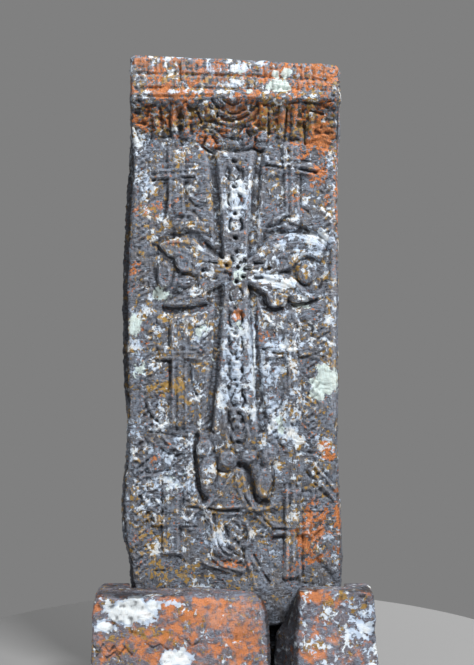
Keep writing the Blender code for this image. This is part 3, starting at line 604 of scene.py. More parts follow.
def slab_rings(tree):
    """Rings of points on the CAD slab, foot to top, each from the face's left edge round to it again."""
    low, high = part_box("slab")
    left_top = struck(tree, (low.x + TOP_INSET, 0.0, RAY_HEIGHT), (0, 0, -1), 2, high.z)
    right_top = struck(tree, (high.x - TOP_INSET, 0.0, RAY_HEIGHT), (0, 0, -1), 2, high.z)
    fall = (left_top - right_top) / (high.x - low.x - 2 * TOP_INSET)
    back = high.y - BACK_INSET
    rings = []
    for ring in range(RINGS + 1):
        level = (left_top - 0.004) * ring / RINGS
        leaning = float(smooth_step(CORNICE_FOOT, left_top, level)) * fall

        def at(x):
            return max(0.001, level - leaning * (x - low.x - TOP_INSET))

        edges = []
        for side in (-1, 1):
            near = side * 0.31
            front = struck(tree, (near, -2.0, at(near)), (0, 1, 0), 1, FACE_Y)
            y = front + ARRIS_DEPTH
            edges.append((struck(tree, (side * 2.0, y, at(near)), (-side, 0, 0), 0, side * 0.35), y))
        (left, left_y), (right, right_y) = edges
        points = []
        for i in range(FACE_POINTS + 1):
            share = i / FACE_POINTS
            x = left + (right - left) * share
            otherwise = left_y + (right_y - left_y) * share
            points.append((x, struck(tree, (x, -2.0, at(x)), (0, 1, 0), 1, otherwise), at(x)))
        for i in range(1, SIDE_POINTS + 1):
            y = right_y + (back - right_y) * i / SIDE_POINTS
            points.append((struck(tree, (2.0, y, at(right)), (-1, 0, 0), 0, right), y, at(right)))
        for i in range(BACK_POINTS + 1):
            x = right - 0.010 + (left - right + 0.020) * i / BACK_POINTS
            points.append((x, struck(tree, (x, 2.0, at(x)), (0, -1, 0), 1, high.y), at(x)))
        for i in range(SIDE_POINTS):
            y = back + (left_y - back) * i / SIDE_POINTS
            points.append((struck(tree, (-2.0, y, at(left)), (1, 0, 0), 0, left), y, at(left)))
        rings.append(points)
    grid = np.array(rings)
    grid[0, :, 2] = 0.0
    return grid


def outward(grid):
    """The level direction out of the stone at each point of each ring."""
    run = np.roll(grid, -1, axis=1) - np.roll(grid, 1, axis=1)
    normal = np.stack([run[..., 1], -run[..., 0], np.zeros_like(run[..., 0])], axis=-1)
    return normal / np.maximum(np.linalg.norm(normal, axis=-1, keepdims=True), 1e-9)


def closed_mesh(name, grid):
    """One closed mesh from the rings, with a rough top drawn in from the last of them."""
    count = grid.shape[1]
    rings = list(grid)
    rim = grid[-1]
    middle = rim[:, 1].mean()
    for i in range(1, CAP_RINGS + 1):
        share = i / CAP_RINGS * 0.94
        inner = rim.copy()
        inner[:, 0] = rim[:, 0] * (1 - share * 0.12)
        inner[:, 1] = rim[:, 1] + (middle - rim[:, 1]) * share
        inner[:, 2] += 0.006 * math.sin(share * math.pi / 2) + 0.003 * layered_noise(inner, 14, 3, 5)
        rings.append(inner)
    points = np.concatenate(rings)
    faces = []
    for ring in range(len(rings) - 1):
        for i in range(count):
            j = (i + 1) % count
            low, high = ring * count, (ring + 1) * count
            faces.append((low + i, low + j, high + j, high + i))
    faces.append(tuple(range(count))[::-1])
    faces.append(tuple(range((len(rings) - 1) * count, len(rings) * count)))
    mesh = bpy.data.meshes.new(name)
    mesh.from_pydata(points.tolist(), [], faces)
    mesh.shade_smooth()
    return mesh


def set_field(mesh, name, values):
    field = mesh.attributes.new(name, "FLOAT", "POINT")
    field.data.foreach_set("value", np.asarray(values, dtype=np.float32).ravel())


def in_scene(name, mesh):
    piece = bpy.data.objects.new(name, mesh)
    bpy.context.scene.collection.objects.link(piece)
    return piece


def with_modifiers_applied(piece):
    """A new mesh of the piece as its modifiers make it; the piece itself goes."""
    bpy.context.view_layer.update()
    made = piece.evaluated_get(bpy.context.evaluated_depsgraph_get())
    mesh = bpy.data.meshes.new_from_object(made)
    bpy.data.objects.remove(piece)
    return mesh


def thinned(mesh):
    """The mesh with fewer triangles where it is plain, and its fields kept."""
    piece = in_scene(mesh.name, mesh)
    fewer = piece.modifiers.new("fewer where plain", "DECIMATE")
    fewer.ratio = MOST_TRIANGLES / (2 * len(mesh.polygons))
    thin = with_modifiers_applied(piece)
    thin.shade_smooth()
    return thin


def mesh_points(mesh):
    points = np.zeros(len(mesh.vertices) * 3)
    mesh.vertices.foreach_get("co", points)
    return points.reshape(-1, 3)


# Lichen: (column, row, half width, half height, strength) in the photograph's frame

# White lichen, and painted highlight: the thin strips along the slab's top rim (row 58) and down the right
# rims of the great cross (columns 250 to 254) stand for light on those rims
SLAB_WHITE_AND_RIM_HIGHLIGHTS = (
    (213, 68, 8, 5, 1.0), (239, 68, 9, 5, 0.95), (233, 83, 12, 4, 0.85), (263, 62, 8, 4, 0.9),
    (185, 92.5, 50, 1.6, 0.75), (130, 66, 4, 8, 0.8), (205, 106, 16, 3, 0.7), (222, 136, 12, 6, 0.5),
    (236, 58, 100, 2.5, 0.75), (135, 58, 6, 3, 0.9), (240, 102, 40, 3, 0.5), (152, 156, 8, 5, 0.7),
    (290, 155, 14, 6, 0.35), (330, 165, 6, 10, 0.6), (146, 143, 14, 14, 0.75), (142, 185, 14, 20, 0.72),
    (228, 160, 12, 6, 0.5), (233, 204, 17, 22, 0.95), (200, 200, 10, 16, 0.4), (275, 157, 12, 10, 0.6),
    (308, 196, 14, 16, 0.4), (320, 240, 14, 14, 0.95), (296, 238, 24, 9, 0.95), (276, 246, 16, 6, 0.8),
    (306, 250, 22, 7, 0.95), (312, 262, 12, 12, 0.65), (266, 278, 16, 5, 1.0), (286, 285, 16, 6, 0.85),
    (304, 294, 14, 6, 0.8), (268, 262, 12, 8, 0.6), (160, 225, 14, 14, 0.45), (236, 300, 10, 12, 0.4),
    (250, 254, 10, 5, 0.8), (236, 262, 14, 10, 0.55), (238, 325, 14, 12, 0.85), (251, 345, 3.5, 40, 1.1),
    (254.3, 364, 1.3, 36, 1.6), (250, 190, 1.2, 40, 0.9), (236, 345, 12, 12, 0.8),
    (236, 372, 15, 20, 1.05), (228, 395, 10, 14, 0.9), (242, 402, 12, 14, 0.8), (224, 355, 4, 30, 0.8),
    (256, 412, 6, 14, 0.9), (274, 345, 14, 14, 0.9), (272, 378, 12, 20, 0.95), (292, 360, 10, 10, 0.7),
    (276, 405, 14, 12, 0.9), (284, 430, 24, 14, 0.9), (300, 440, 24, 8, 0.75), (302, 345, 12, 8, 0.6),
    (300, 395, 12, 20, 0.6), (138, 350, 8, 30, 0.7), (155, 365, 12, 12, 0.6), (200, 335, 8, 12, 0.85),
    (198, 388, 8, 12, 0.6), (160, 405, 14, 12, 0.5), (136, 428, 10, 10, 0.8), (165, 425, 14, 6, 0.7),
    (185, 440, 12, 10, 0.7), (130, 455, 8, 14, 0.75), (160, 458, 16, 10, 0.9), (208, 445, 9, 8, 0.7),
    (208, 470, 7, 22, 0.62), (172, 480, 22, 14, 0.85), (150, 495, 16, 16, 0.7), (190, 515, 20, 12, 0.5),
    (240, 455, 10, 8, 0.4), (276, 470, 8, 12, 0.5), (212, 540, 18, 14, 0.8), (270, 553, 16, 8, 0.7),
    (228, 520, 14, 12, 0.4), (155, 548, 16, 10, 0.4), (205, 588, 24, 8, 0.5), (328, 536, 6, 5, 1.1),
    (333, 553, 4, 4, 1.1), (318, 497, 8, 14, 0.5), (145, 310, 14, 14, 0.5), (168, 345, 12, 14, 0.35),
    (300, 320, 16, 14, 0.3), (190, 460, 10, 20, 0.5),
)
SLAB_MINT = (
    (324, 382, 13, 16, 1.5), (279, 86.5, 9, 6.2, 1.65), (275.5, 74.5, 4, 3.5, 1.5),
    (287, 73.5, 4.5, 4, 1.5), (248.5, 91.5, 3.5, 3, 1.3), (239, 72, 5, 3, 1.0), (160, 294, 10, 8, 1.0),
    (137, 325, 7, 9, 1.1), (239, 274, 9, 9, 0.9), (281, 425, 5, 12, 1.0), (201, 331, 8, 8, 0.9),
    (140, 365, 8, 20, 0.7), (302, 306, 10, 4, 0.8), (216, 345, 5, 30, 0.5), (172, 478, 12, 14, 0.6),
    (190, 588, 26, 8, 0.5), (280, 380, 8, 14, 0.5), (236, 325, 8, 8, 0.7),
)
SLAB_ORANGE = (
    (236, 76, 110, 16, 0.72), (175, 74, 40, 14, 0.80), (236, 120, 106, 16, 0.56),
    (290, 118, 50, 15, 0.72), (165, 64, 36, 10, 0.85), (200, 78, 60, 14, 0.5), (205, 84, 40, 6, 0.55),
    (318, 76, 22, 14, 0.88), (275, 98, 30, 8, 0.75), (168, 97, 34, 7, 1.0), (160, 120, 30, 14, 0.75),
    (236, 112, 20, 13, 0.8), (258, 114, 14, 14, 0.85), (285, 118, 16, 14, 0.65), (320, 110, 18, 14, 0.6),
    (322, 137, 15, 16, 1.15), (337, 190, 4, 60, 0.8), (210, 143, 14, 8, 0.75), (148, 211, 11, 8, 0.9),
    (238, 104, 40, 8, 0.5), (182, 152, 12, 6, 0.5), (305, 152, 22, 10, 0.45), (318, 172, 8, 14, 0.7),
    (292, 196, 12, 5, 0.7), (173, 243, 8, 4, 0.9), (136, 272, 6, 14, 0.6), (240, 297, 6, 8, 0.45),
    (236, 315, 6, 4, 1.2), (266, 325, 14, 14, 0.45), (325, 446, 7, 6, 1.4), (329, 456, 6, 5, 1.2),
    (310, 530, 15, 20, 0.95), (312, 555, 14, 14, 0.86), (338, 520, 4, 30, 0.95), (232, 563, 20, 4, 0.75),
    (290, 565, 8, 12, 0.6), (195, 592, 30, 5, 0.5), (160, 590, 20, 6, 0.4), (250, 512, 12, 8, 0.3),
    (160, 545, 6, 10, 0.4), (327, 201, 4, 6, 0.8), (158, 330, 12, 10, 0.3),
)
SLAB_OCHRE = (
    (180, 120, 50, 16, 0.72), (285, 122, 50, 18, 0.78), (200, 84, 60, 10, 0.5), (300, 84, 30, 12, 0.5),
    (168, 388, 20, 8, 0.9), (158, 320, 14, 10, 0.7), (150, 540, 18, 22, 0.85), (170, 572, 26, 12, 0.85),
    (190, 325, 8, 10, 0.6), (188, 405, 14, 26, 0.5), (183, 155, 14, 10, 0.6), (224, 266, 8, 8, 0.9),
    (185, 270, 14, 10, 0.6), (273, 185, 8, 26, 0.5), (297, 268, 10, 14, 0.5), (246, 288, 8, 8, 0.5),
    (215, 535, 8, 24, 0.6), (236, 582, 26, 10, 0.6), (270, 510, 10, 10, 0.6), (255, 445, 10, 12, 0.5),
    (265, 245, 14, 10, 0.5), (140, 100, 8, 10, 0.4), (200, 480, 8, 30, 0.35), (302, 420, 12, 14, 0.4),
)
LEFT_STONE_WHITE = (
    (130, 612, 21, 11, 2.2), (104, 627, 9, 5, 1.9), (152, 606, 8, 7, 1.4), (172, 603, 11, 3.5, 1.2),
    (176, 658, 12, 7, 2.0), (206, 636, 8, 4, 0.7), (150, 598, 30, 3, 0.5), (222, 640, 18, 8, 0.4),
)
LEFT_STONE_ORANGE = (
    (205, 618, 46, 16, 1.02), (165, 636, 40, 12, 0.85), (120, 645, 34, 14, 0.75),
    (240, 645, 20, 22, 0.92), (168, 608, 16, 8, 0.9), (215, 603, 44, 5, 0.95), (99, 606, 7, 9, 0.9),
    (150, 655, 30, 8, 0.75), (205, 655, 30, 10, 0.7), (250, 625, 12, 20, 0.9),
)
LEFT_STONE_OCHRE = ((112, 640, 12, 8, 0.6), (190, 618, 14, 10, 0.6), (150, 636, 24, 8, 0.7))
RIGHT_STONE_WHITE = (
    (360, 628, 15, 17, 1.0), (350, 604, 14, 7, 0.7), (372, 612, 6, 12, 0.8), (330, 652, 20, 8, 0.55),
    (345, 586, 30, 3, 0.9), (366, 652, 10, 10, 0.8),
)
RIGHT_STONE_ORANGE = (
    (308, 594, 12, 8, 1.3), (334, 604, 12, 8, 0.7), (368, 593, 7, 4, 1.0), (312, 645, 14, 16, 0.9),
    (345, 652, 16, 10, 0.6), (326, 622, 10, 12, 0.55), (340, 640, 10, 8, 0.6),
)
RIGHT_STONE_OCHRE = (
    (328, 598, 8, 8, 1.1), (343, 595, 5, 6, 1.1), (356, 612, 8, 10, 0.7), (315, 650, 16, 12, 0.7),
)


def growth(points, patches, everywhere, face_y, seed):
    """How thick one lichen stands at each point: its patches on the face, and a wandering share."""
    total = everywhere * (1 + 0.7 * layered_noise(points, 5.0, 2, seed))
    scale = pixels_per_metre(face_y)
    seen = 1 - smooth_step(0.0, 0.05, points[:, 1] - face_y - 0.02)
    ragged_x = 0.42 * layered_noise(points, 34, 3, seed + 10)
    ragged_z = 0.42 * layered_noise(points, 34, 3, seed + 20)
    for column, row, half_width, half_height, strength in patches:
        if row < CORNICE_ROW:
            column, row = on_cornice(column, row)
        x, z = placed(column, row, face_y)
        across = (points[:, 0] - x) * scale / half_width + ragged_x
        up = (points[:, 2] - z) * scale / half_height + ragged_z
        total = np.maximum(total, strength * seen * np.exp(-0.5 * (across**2 + up**2) ** 1.4))
    return np.clip(total, 0.0, 1.6)


def set_growth(mesh, face_y, white, mint, orange, ochre):
    points = mesh_points(mesh)
    for seed, (name, (patches, everywhere)) in enumerate(
        {"white": white, "mint": mint, "orange": orange, "ochre": ochre}.items()
    ):
        set_field(mesh, name, growth(points, patches, everywhere, face_y, 40 + seed))


# The three stones

# Which way the wrinkles run: each turns and stretches the noise that draws them
LEANING = np.array([[0.75, 0.0, 0.35], [0.0, 1.0, 0.0], [-0.6, 0.0, 1.6]])
UPRIGHT = np.array([[1.7, 0.0, 0.0], [0.0, 1.0, 0.0], [0.0, 0.0, 0.6]])
STONE_LEANING = np.array([[0.8, 0.0, 0.4], [0.0, 1.0, 0.0], [-0.5, 0.0, 1.3]])

# How far swells, wrinkles, pits and bites reach, in metres
SLAB_SWELL, SLAB_WRINKLE, SLAB_PIT, SLAB_BITE = 0.0020, 0.0019, 0.0018, 0.016
STONE_SWELL, STONE_WRINKLE, STONE_PIT, SCRATCH_DEPTH = 0.005, 0.0022, 0.003, 0.0025


def pitting(points, seed):
    """Small pits, from 0 between them to about -1 in them."""
    return -np.clip(layered_noise(points, 85, 2, seed) - 0.25, 0, 1)


def chipped_edges(grid, normal):
    """Bites out of the face's two long edges."""
    index = np.arange(grid.shape[1])
    from_edge = np.minimum(np.abs(index - FACE_POINTS), np.minimum(index, grid.shape[1] - index))
    near = np.exp(-((from_edge / 2.2) ** 2))[None, :]
    flat = grid.reshape(-1, 3)
    small = np.clip(layered_noise(flat, 26, 3, 91) - 0.25, 0, 1)
    large = np.clip(layered_noise(flat, 9, 2, 93) - 0.3, 0, 1)
    bites = (small + 0.8 * large).reshape(grid.shape[:2])
    return -normal * (SLAB_BITE * near * bites)[..., None]


def ridged(points, scale, layers, seed):
    """Noise drawn up into thin crests, from 0 to about 1."""
    total, size = np.zeros(len(points)), 1.0
    for layer in range(layers):
        crest = 1 - np.abs(soft_noise(points, scale * 2.1**layer, seed + layer)) * 2
        total += size * np.clip(crest, 0, 1) ** 2
        size *= 0.5
    return total


def rough_dressing(grid, normal):
    """The quarried surface: broad swells, wrinkles that lean across the face, and fine pitting."""
    flat = grid.reshape(-1, 3)
    bent = flat + 0.02 * np.stack([soft_noise(flat, 12, seed) for seed in (61, 62, 63)], axis=1)
    swell = layered_noise(flat, 9, 2, 1)
    wrinkle = ridged(bent @ LEANING, 30, 2, 11) - 0.3
    fluting = ridged(bent @ UPRIGHT, 34, 2, 15) - 0.3
    turn = smooth_step(-0.25, 0.35, soft_noise(flat, 7, 18))
    pits = pitting(flat, 21)
    back = smooth_step(FACE_POINTS + 1, FACE_POINTS + 4, np.arange(grid.shape[1]))[None, :]
    z = grid[..., 2]
    ends = 1.6 * (1 - smooth_step(0.40, 0.52, z)) + 0.4 * smooth_step(1.85, 1.95, z)
    raw = 1 + (ends * (1 - 0.85 * back)).ravel()
    wrinkles = wrinkle * (1 - 0.6 * turn) + 0.7 * fluting * turn
    relief = SLAB_SWELL * swell + SLAB_WRINKLE * raw * wrinkles
    relief = (relief + SLAB_PIT * pits).reshape(grid.shape[:2]) * (1 + back)
    touching = (1 - smooth_step(STONE_TOP, STONE_TOP + 0.04, z)) * (1 - back)
    relief += (np.minimum(relief, 0.001) - relief) * touching
    return normal * relief[..., None], pits.reshape(grid.shape[:2])


def carved_face(face_grid):
    """Carves the face's part of the grid, and gives back its heights and the painted shade of its deep
    cuts.
    """
    face_grid[..., 1] = blurred(face_grid[..., 1], 3)
    face = Face(face_grid[..., 0], face_grid[..., 2])
    run_out(face_grid[..., 1], face, 214.5, 259.5, 429, 450)
    for carve in (
        carve_cornice, carve_plait, carve_arms, carve_small_crosses, ridges_of_small_crosses, carve_foot,
        worn_interlace, chisel_marks,
    ):
        carve(face)
    edge = np.minimum(np.arange(FACE_POINTS + 1), FACE_POINTS - np.arange(FACE_POINTS + 1))
    face.height *= smooth_step(1, 5, edge)[None, :]
    worn_left_arris(face)
    face_grid[..., 1] -= face.height
    return face


def slab_hollows(grid, face, pits):
    """How much painted shade each point gets, below 0 for painted highlight on crests: shade in its fine,
    middling and wide hollows, its deep cuts and pits, painted shade and highlight along the slab's edges,
    cove and foot, and painted light over the cornice; the cove's shade stands for dirt as well.
    """
    depth = grid[:, : FACE_POINTS + 1, 1]
    fine = np.clip((depth - blurred(depth, 5)) / 0.0022, -1, 1)
    hollow = np.clip((depth - blurred(depth, 22)) / 0.0055, -1, 1)
    wide = np.clip((depth - blurred(depth, 120)) / 0.016, -1, 1)
    shade = np.zeros(grid.shape[:2])
    # Painted shade in hollows and deep cuts; on crests the hollows go below 0, a painted highlight
    shade[:, : FACE_POINTS + 1] = 0.36 * fine + 0.30 * hollow + 0.14 * wide + 0.52 * face.dark
    # Painted shade and highlight along the edges, cove and foot, and painted light over the cornice's face
    shade[:, : FACE_POINTS + 1] += painted_shade_and_light(face) - 0.30 * (1 - smooth_step(90, 97, face.row))
    # The left arris's painted shade carries round onto the slab's left side
    shade[:, -4:] += 0.6 * shade[:, :1] * np.linspace(0.1, 0.9, 4)
    return shade - 0.3 * pits


def slab_piece(look):
    grid = slab_rings(cad_tree("slab"))
    face = carved_face(grid[:, : FACE_POINTS + 1])
    normal = outward(grid)
    moved, pits = rough_dressing(grid, normal)
    moved = moved + chipped_edges(grid, normal)
    moved[0] = 0.0
    grid = grid + moved
    face_y = grid[:, : FACE_POINTS + 1, 1]
    grid[:, : FACE_POINTS + 1, 1] = np.minimum(face_y, FACE_Y + DEEPEST_CUT)
    shade = slab_hollows(grid, face, pits)
    mesh = closed_mesh("carved_slab", grid)
    values = np.zeros(len(mesh.vertices))
    values[: shade.size] = shade.ravel()
    # The painted shade and highlight go into the hollow field
    set_field(mesh, "hollow", values)
    mesh = thinned(mesh)
    above_foot = 0.35 + 0.65 * smooth_step(0.38, 0.56, mesh_points(mesh)[:, 2])
    set_growth(
        mesh, FACE_Y, (SLAB_WHITE_AND_RIM_HIGHLIGHTS, 0.25 * above_foot), (SLAB_MINT, 0.10 * above_foot),
        (SLAB_ORANGE, 0.08 * above_foot), (SLAB_OCHRE, 0.29 * above_foot),
    )
    return dressed("carved_slab", mesh, look, "slab")


SCRATCHES = (
    [(93, 646), (98, 652), (103, 644), (109, 652), (114, 646), (120, 654), (125, 647), (132, 655)],
    [(96, 656), (101, 651), (107, 658), (115, 652), (121, 660)],
    [(146, 643), (153, 648), (160, 644), (168, 650)], [(186, 640), (192, 646), (199, 642)],
)


def scratched(points):
    """How near each point of a base stone lies to the zigzag scratches on its face, from 0 to 1."""
    column, row = in_photo(points[:, 0], points[:, 2], STONE_FACE_Y)
    away = np.min([distance_to_path(column, row, path) for path in SCRATCHES], axis=0)
    return (1 - smooth_step(0.4, 1.8, away)) * (points[:, 1] < STONE_FACE_Y + 0.05)


def base_stone_piece(node, name, look, lichen):
    """The CAD stone remeshed to an even grain, then roughened and worn at its edges."""
    piece = in_scene(name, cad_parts[node].data.copy())
    remesh = piece.modifiers.new("even grain", "REMESH")
    remesh.mode = "VOXEL"
    remesh.voxel_size = STONE_GRAIN
    smooth = piece.modifiers.new("worn edges", "SMOOTH")
    smooth.iterations = 2
    mesh = with_modifiers_applied(piece)
    mesh.name = name
    points = mesh_points(mesh)
    normals = np.zeros(len(mesh.vertices) * 3)
    mesh.vertices.foreach_get("normal", normals)
    normals = normals.reshape(-1, 3)
    pits, scratches = pitting(points, 25), scratched(points)
    wrinkles = layered_noise(points @ STONE_LEANING, 34, 3, 7)
    relief = STONE_SWELL * layered_noise(points, 7, 2, 3) + STONE_WRINKLE * wrinkles + STONE_PIT * pits
    relief -= SCRATCH_DEPTH * scratches
    low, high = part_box(node)
    at_back = smooth_step(high.y - 0.09, high.y - 0.02, points[:, 1])
    at_foot = 1 - smooth_step(0.0, 0.02, points[:, 2])
    touching = np.maximum(at_back, at_foot) > 0.3
    relief = np.where(touching, np.minimum(relief, 0.0) - 0.001, relief)
    relief *= smooth_step(0.0, 0.012, points[:, 2])
    points = points + normals * relief[:, None]
    mesh.vertices.foreach_set("co", points.ravel())
    mesh.shade_smooth()
    # Painted shade in the hollow field: darker in hollows, pits and the gap between the two stones, darker
    # also on upward faces and in the scratches; painted highlight on the swells
    top = smooth_step(0.55, 0.85, normals[:, 2])
    middle = smooth_step(0.15, 0.5, -normals[:, 0] if low.x > 0 else normals[:, 0])
    gap = middle * (1 - smooth_step(0.19, 0.23, points[:, 0])) * smooth_step(0.05, 0.09, points[:, 0])
    hollow = -relief / 0.009 - 0.4 * pits + 0.50 * top + 1.2 * gap + 0.7 * scratches
    set_field(mesh, "hollow", np.clip(hollow, -1, 1))
    set_growth(mesh, STONE_FACE_Y, *lichen)
    return dressed(name, mesh, look, node)


def dressed(name, mesh, look, node):
    mesh.materials.clear()
    mesh.materials.append(look)
    piece = in_scene(name, mesh)
    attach(piece, "root")
    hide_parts(node)
    return piece


# Materials


def colour(red, green, blue):
    """A screen colour from 0 to 255 as the linear colour that nodes take."""
    parts = [part / 255 for part in (red, green, blue)]
    return (*[p / 12.92 if p <= 0.04045 else ((p + 0.055) / 1.055) ** 2.4 for p in parts], 1.0)


class Shade:
    """Short calls for building one material's nodes."""

    def __init__(self, name):
        self.material = bpy.data.materials.new(name)
        self.material.use_nodes = True
        self.nodes = self.material.node_tree.nodes
        self.links = self.material.node_tree.links
        self.shader = self.nodes["Principled BSDF"]
        self.place = self.nodes.new("ShaderNodeTexCoord").outputs["Object"]

    def put(self, socket, value):
        if isinstance(value, bpy.types.NodeSocket):
            self.links.new(value, socket)
        else:
            socket.default_value = value

    def stretched(self, scale, turn):
        node = self.nodes.new("ShaderNodeMapping")
        node.inputs["Scale"].default_value = scale
        node.inputs["Rotation"].default_value = turn
        self.links.new(self.place, node.inputs["Vector"])
        return node.outputs["Vector"]

    def noise(self, scale, detail, roughness, distortion=0.0, vector=None):
        node = self.nodes.new("ShaderNodeTexNoise")
        self.links.new(vector or self.place, node.inputs["Vector"])
        node.inputs["Scale"].default_value = scale
        node.inputs["Detail"].default_value = detail
        node.inputs["Roughness"].default_value = roughness
        node.inputs["Distortion"].default_value = distortion
        return node.outputs["Fac"]

    def field(self, name):
        node = self.nodes.new("ShaderNodeAttribute")
        node.attribute_name = name
        return node.outputs["Fac"]

    def math(self, operation, first, second):
        node = self.nodes.new("ShaderNodeMath")
        node.operation = operation
        self.put(node.inputs[0], first)
        self.put(node.inputs[1], second)
        return node.outputs[0]

    def ramp(self, value, low, high, out_low=0.0, out_high=1.0):
        node = self.nodes.new("ShaderNodeMapRange")
        node.interpolation_type = "SMOOTHSTEP"
        names = ("Value", "From Min", "From Max", "To Min", "To Max")
        for name, part in zip(names, (value, low, high, out_low, out_high)):
            self.put(node.inputs[name], part)
        return node.outputs["Result"]

    def mix(self, share, under, over, blend="MIX"):
        node = self.nodes.new("ShaderNodeMix")
        node.data_type = "RGBA"
        node.blend_type = blend
        self.put(node.inputs["Factor"], share)
        self.put(node.inputs["A"], under)
        self.put(node.inputs["B"], over)
        return node.outputs["Result"]

    def cover(self, growth_name, grain, bare, full, edge):
        """Where a lichen grows: its grain above a level that falls from bare to full as it thickens."""
        level = self.ramp_straight(self.field(growth_name), bare, full)
        return self.ramp(self.math("SUBTRACT", grain, level), -edge, edge)

    def ramp_straight(self, value, at_nothing, at_one):
        return self.math("ADD", at_nothing, self.math("MULTIPLY", value, at_one - at_nothing))


STONE_DARK = colour(70, 70, 76)
STONE_MIDDLE = colour(105, 108, 115)
STONE_LIGHT = colour(142, 143, 150)
STONE_BROWN = colour(112, 105, 99)
STONE_HAZE = colour(132, 144, 161)
STONE_LILAC = colour(138, 129, 139)
LICHEN_WHITE = colour(240, 247, 250)
LICHEN_BLUE = colour(190, 207, 228)
LICHEN_MINT = colour(212, 229, 226)
LICHEN_CREAM = colour(200, 214, 210)
LICHEN_ORANGE = colour(214, 130, 70)
LICHEN_RUST = colour(144, 92, 52)
LICHEN_UMBER = colour(112, 80, 56)
LICHEN_OCHRE = colour(170, 134, 60)
# The near-black of the painted shade in hollows, deep cuts and the gap between the stones; the dark
# streaks take it too
CAVITY = colour(26, 24, 27)


def bare_stone(shade, broad, patches, grain, lilac, smear):
    """The stone's own tones, and the streaks that its dressing left."""
    slanted = shade.stretched((1.0, 1.0, 2.6), (0.0, 0.35, 0.0))
    upright = shade.stretched((2.6, 1.0, 1.0), (0.0, 0.12, 0.0))
    hatching = shade.noise(70, 5, 0.62, 0.6, slanted)
    fluting = shade.noise(64, 5, 0.62, 0.6, upright)
    turned = shade.math("SUBTRACT", fluting, hatching)
    streaks = shade.math("MULTIPLY", shade.ramp(broad, 0.44, 0.56), turned)
    streaks = shade.math("ADD", streaks, hatching)

    stone = shade.mix(shade.ramp(streaks, 0.39, 0.57), STONE_DARK, STONE_MIDDLE)
    stone = shade.mix(shade.ramp(grain, 0.52, 0.80, 0.0, 0.5), stone, STONE_LIGHT)
    stone = shade.mix(shade.ramp(patches, 0.46, 0.66, 0.0, 0.42), stone, STONE_BROWN)
    stone = shade.mix(lilac, stone, STONE_LILAC)
    haze = shade.math("MULTIPLY", shade.ramp(patches, 0.56, 0.40), shade.ramp(hatching, 0.40, 0.60))
    stone = shade.mix(shade.math("MULTIPLY", haze, 0.7 + 0.25 * smear), stone, STONE_HAZE)
    return stone, streaks


def crusted(shade, stone, broad, patches, grain, smear):
    """The stone with its lichens over it, and where their crusts lie."""
    turns = ((0.9, 0.3, 0.4), (0.2, 1.1, 0.7), (1.4, 0.2, 1.9))
    places = [shade.stretched((1.0, 1.0, 1.0), turn) for turn in turns]
    lace = shade.noise(60, 4, 0.60, 0.6)
    blots = shade.noise(80 - 46 * smear, 5, 0.62 + 0.06 * smear, 0.3, places[0])
    crust = shade.noise(52, 5, 0.62, 0.2, places[1])
    specks = shade.noise(66, 3, 0.6, 0.3, places[2])
    clusters = shade.math("MULTIPLY", shade.math("SUBTRACT", patches, 0.5), 0.85)
    lace = shade.math("ADD", lace, clusters)
    specks = shade.math("ADD", specks, clusters)
    blots = shade.math("SUBTRACT", blots, clusters)

    film = shade.cover("white", lace, 0.67, 0.44, 0.06)
    ochre = shade.cover("ochre", specks, 0.72, 0.44, 0.03)
    orange = shade.cover("orange", blots, 0.74, 0.42, 0.03 + 0.09 * smear)
    white = shade.cover("white", lace, 0.745, 0.42, 0.03)
    mint = shade.cover("mint", crust, 0.80, 0.41, 0.04)

    thickest = shade.ramp(shade.field("white"), 1.0, 1.5)
    thick = shade.math("MAXIMUM", shade.ramp(patches, 0.46, 0.70), thickest)
    whites = shade.mix(thick, LICHEN_BLUE, LICHEN_WHITE)
    fresh = shade.ramp(grain, 0.36 - 0.1 * smear, 0.60 - 0.1 * smear)
    oranges = shade.mix(fresh, LICHEN_RUST, LICHEN_ORANGE)
    oranges = shade.mix(shade.ramp(broad, 0.47, 0.62, 0.0, 0.6 - 0.4 * smear), oranges, LICHEN_UMBER)
    mints = shade.mix(shade.ramp(lace, 0.42, 0.58), LICHEN_CREAM, LICHEN_MINT)
    look = stone
    for where, strength, over in (
        (film, 0.46, LICHEN_BLUE),
        (ochre, 0.80, LICHEN_OCHRE),
        (orange, 0.90 - 0.06 * smear, oranges),
        (white, 0.72 + 0.16 * smear, whites),
        (mint, 0.88, mints),
    ):
        look = shade.mix(shade.math("MULTIPLY", where, strength), look, over)
    return look, shade.math("MAXIMUM", shade.math("MAXIMUM", white, mint), orange)


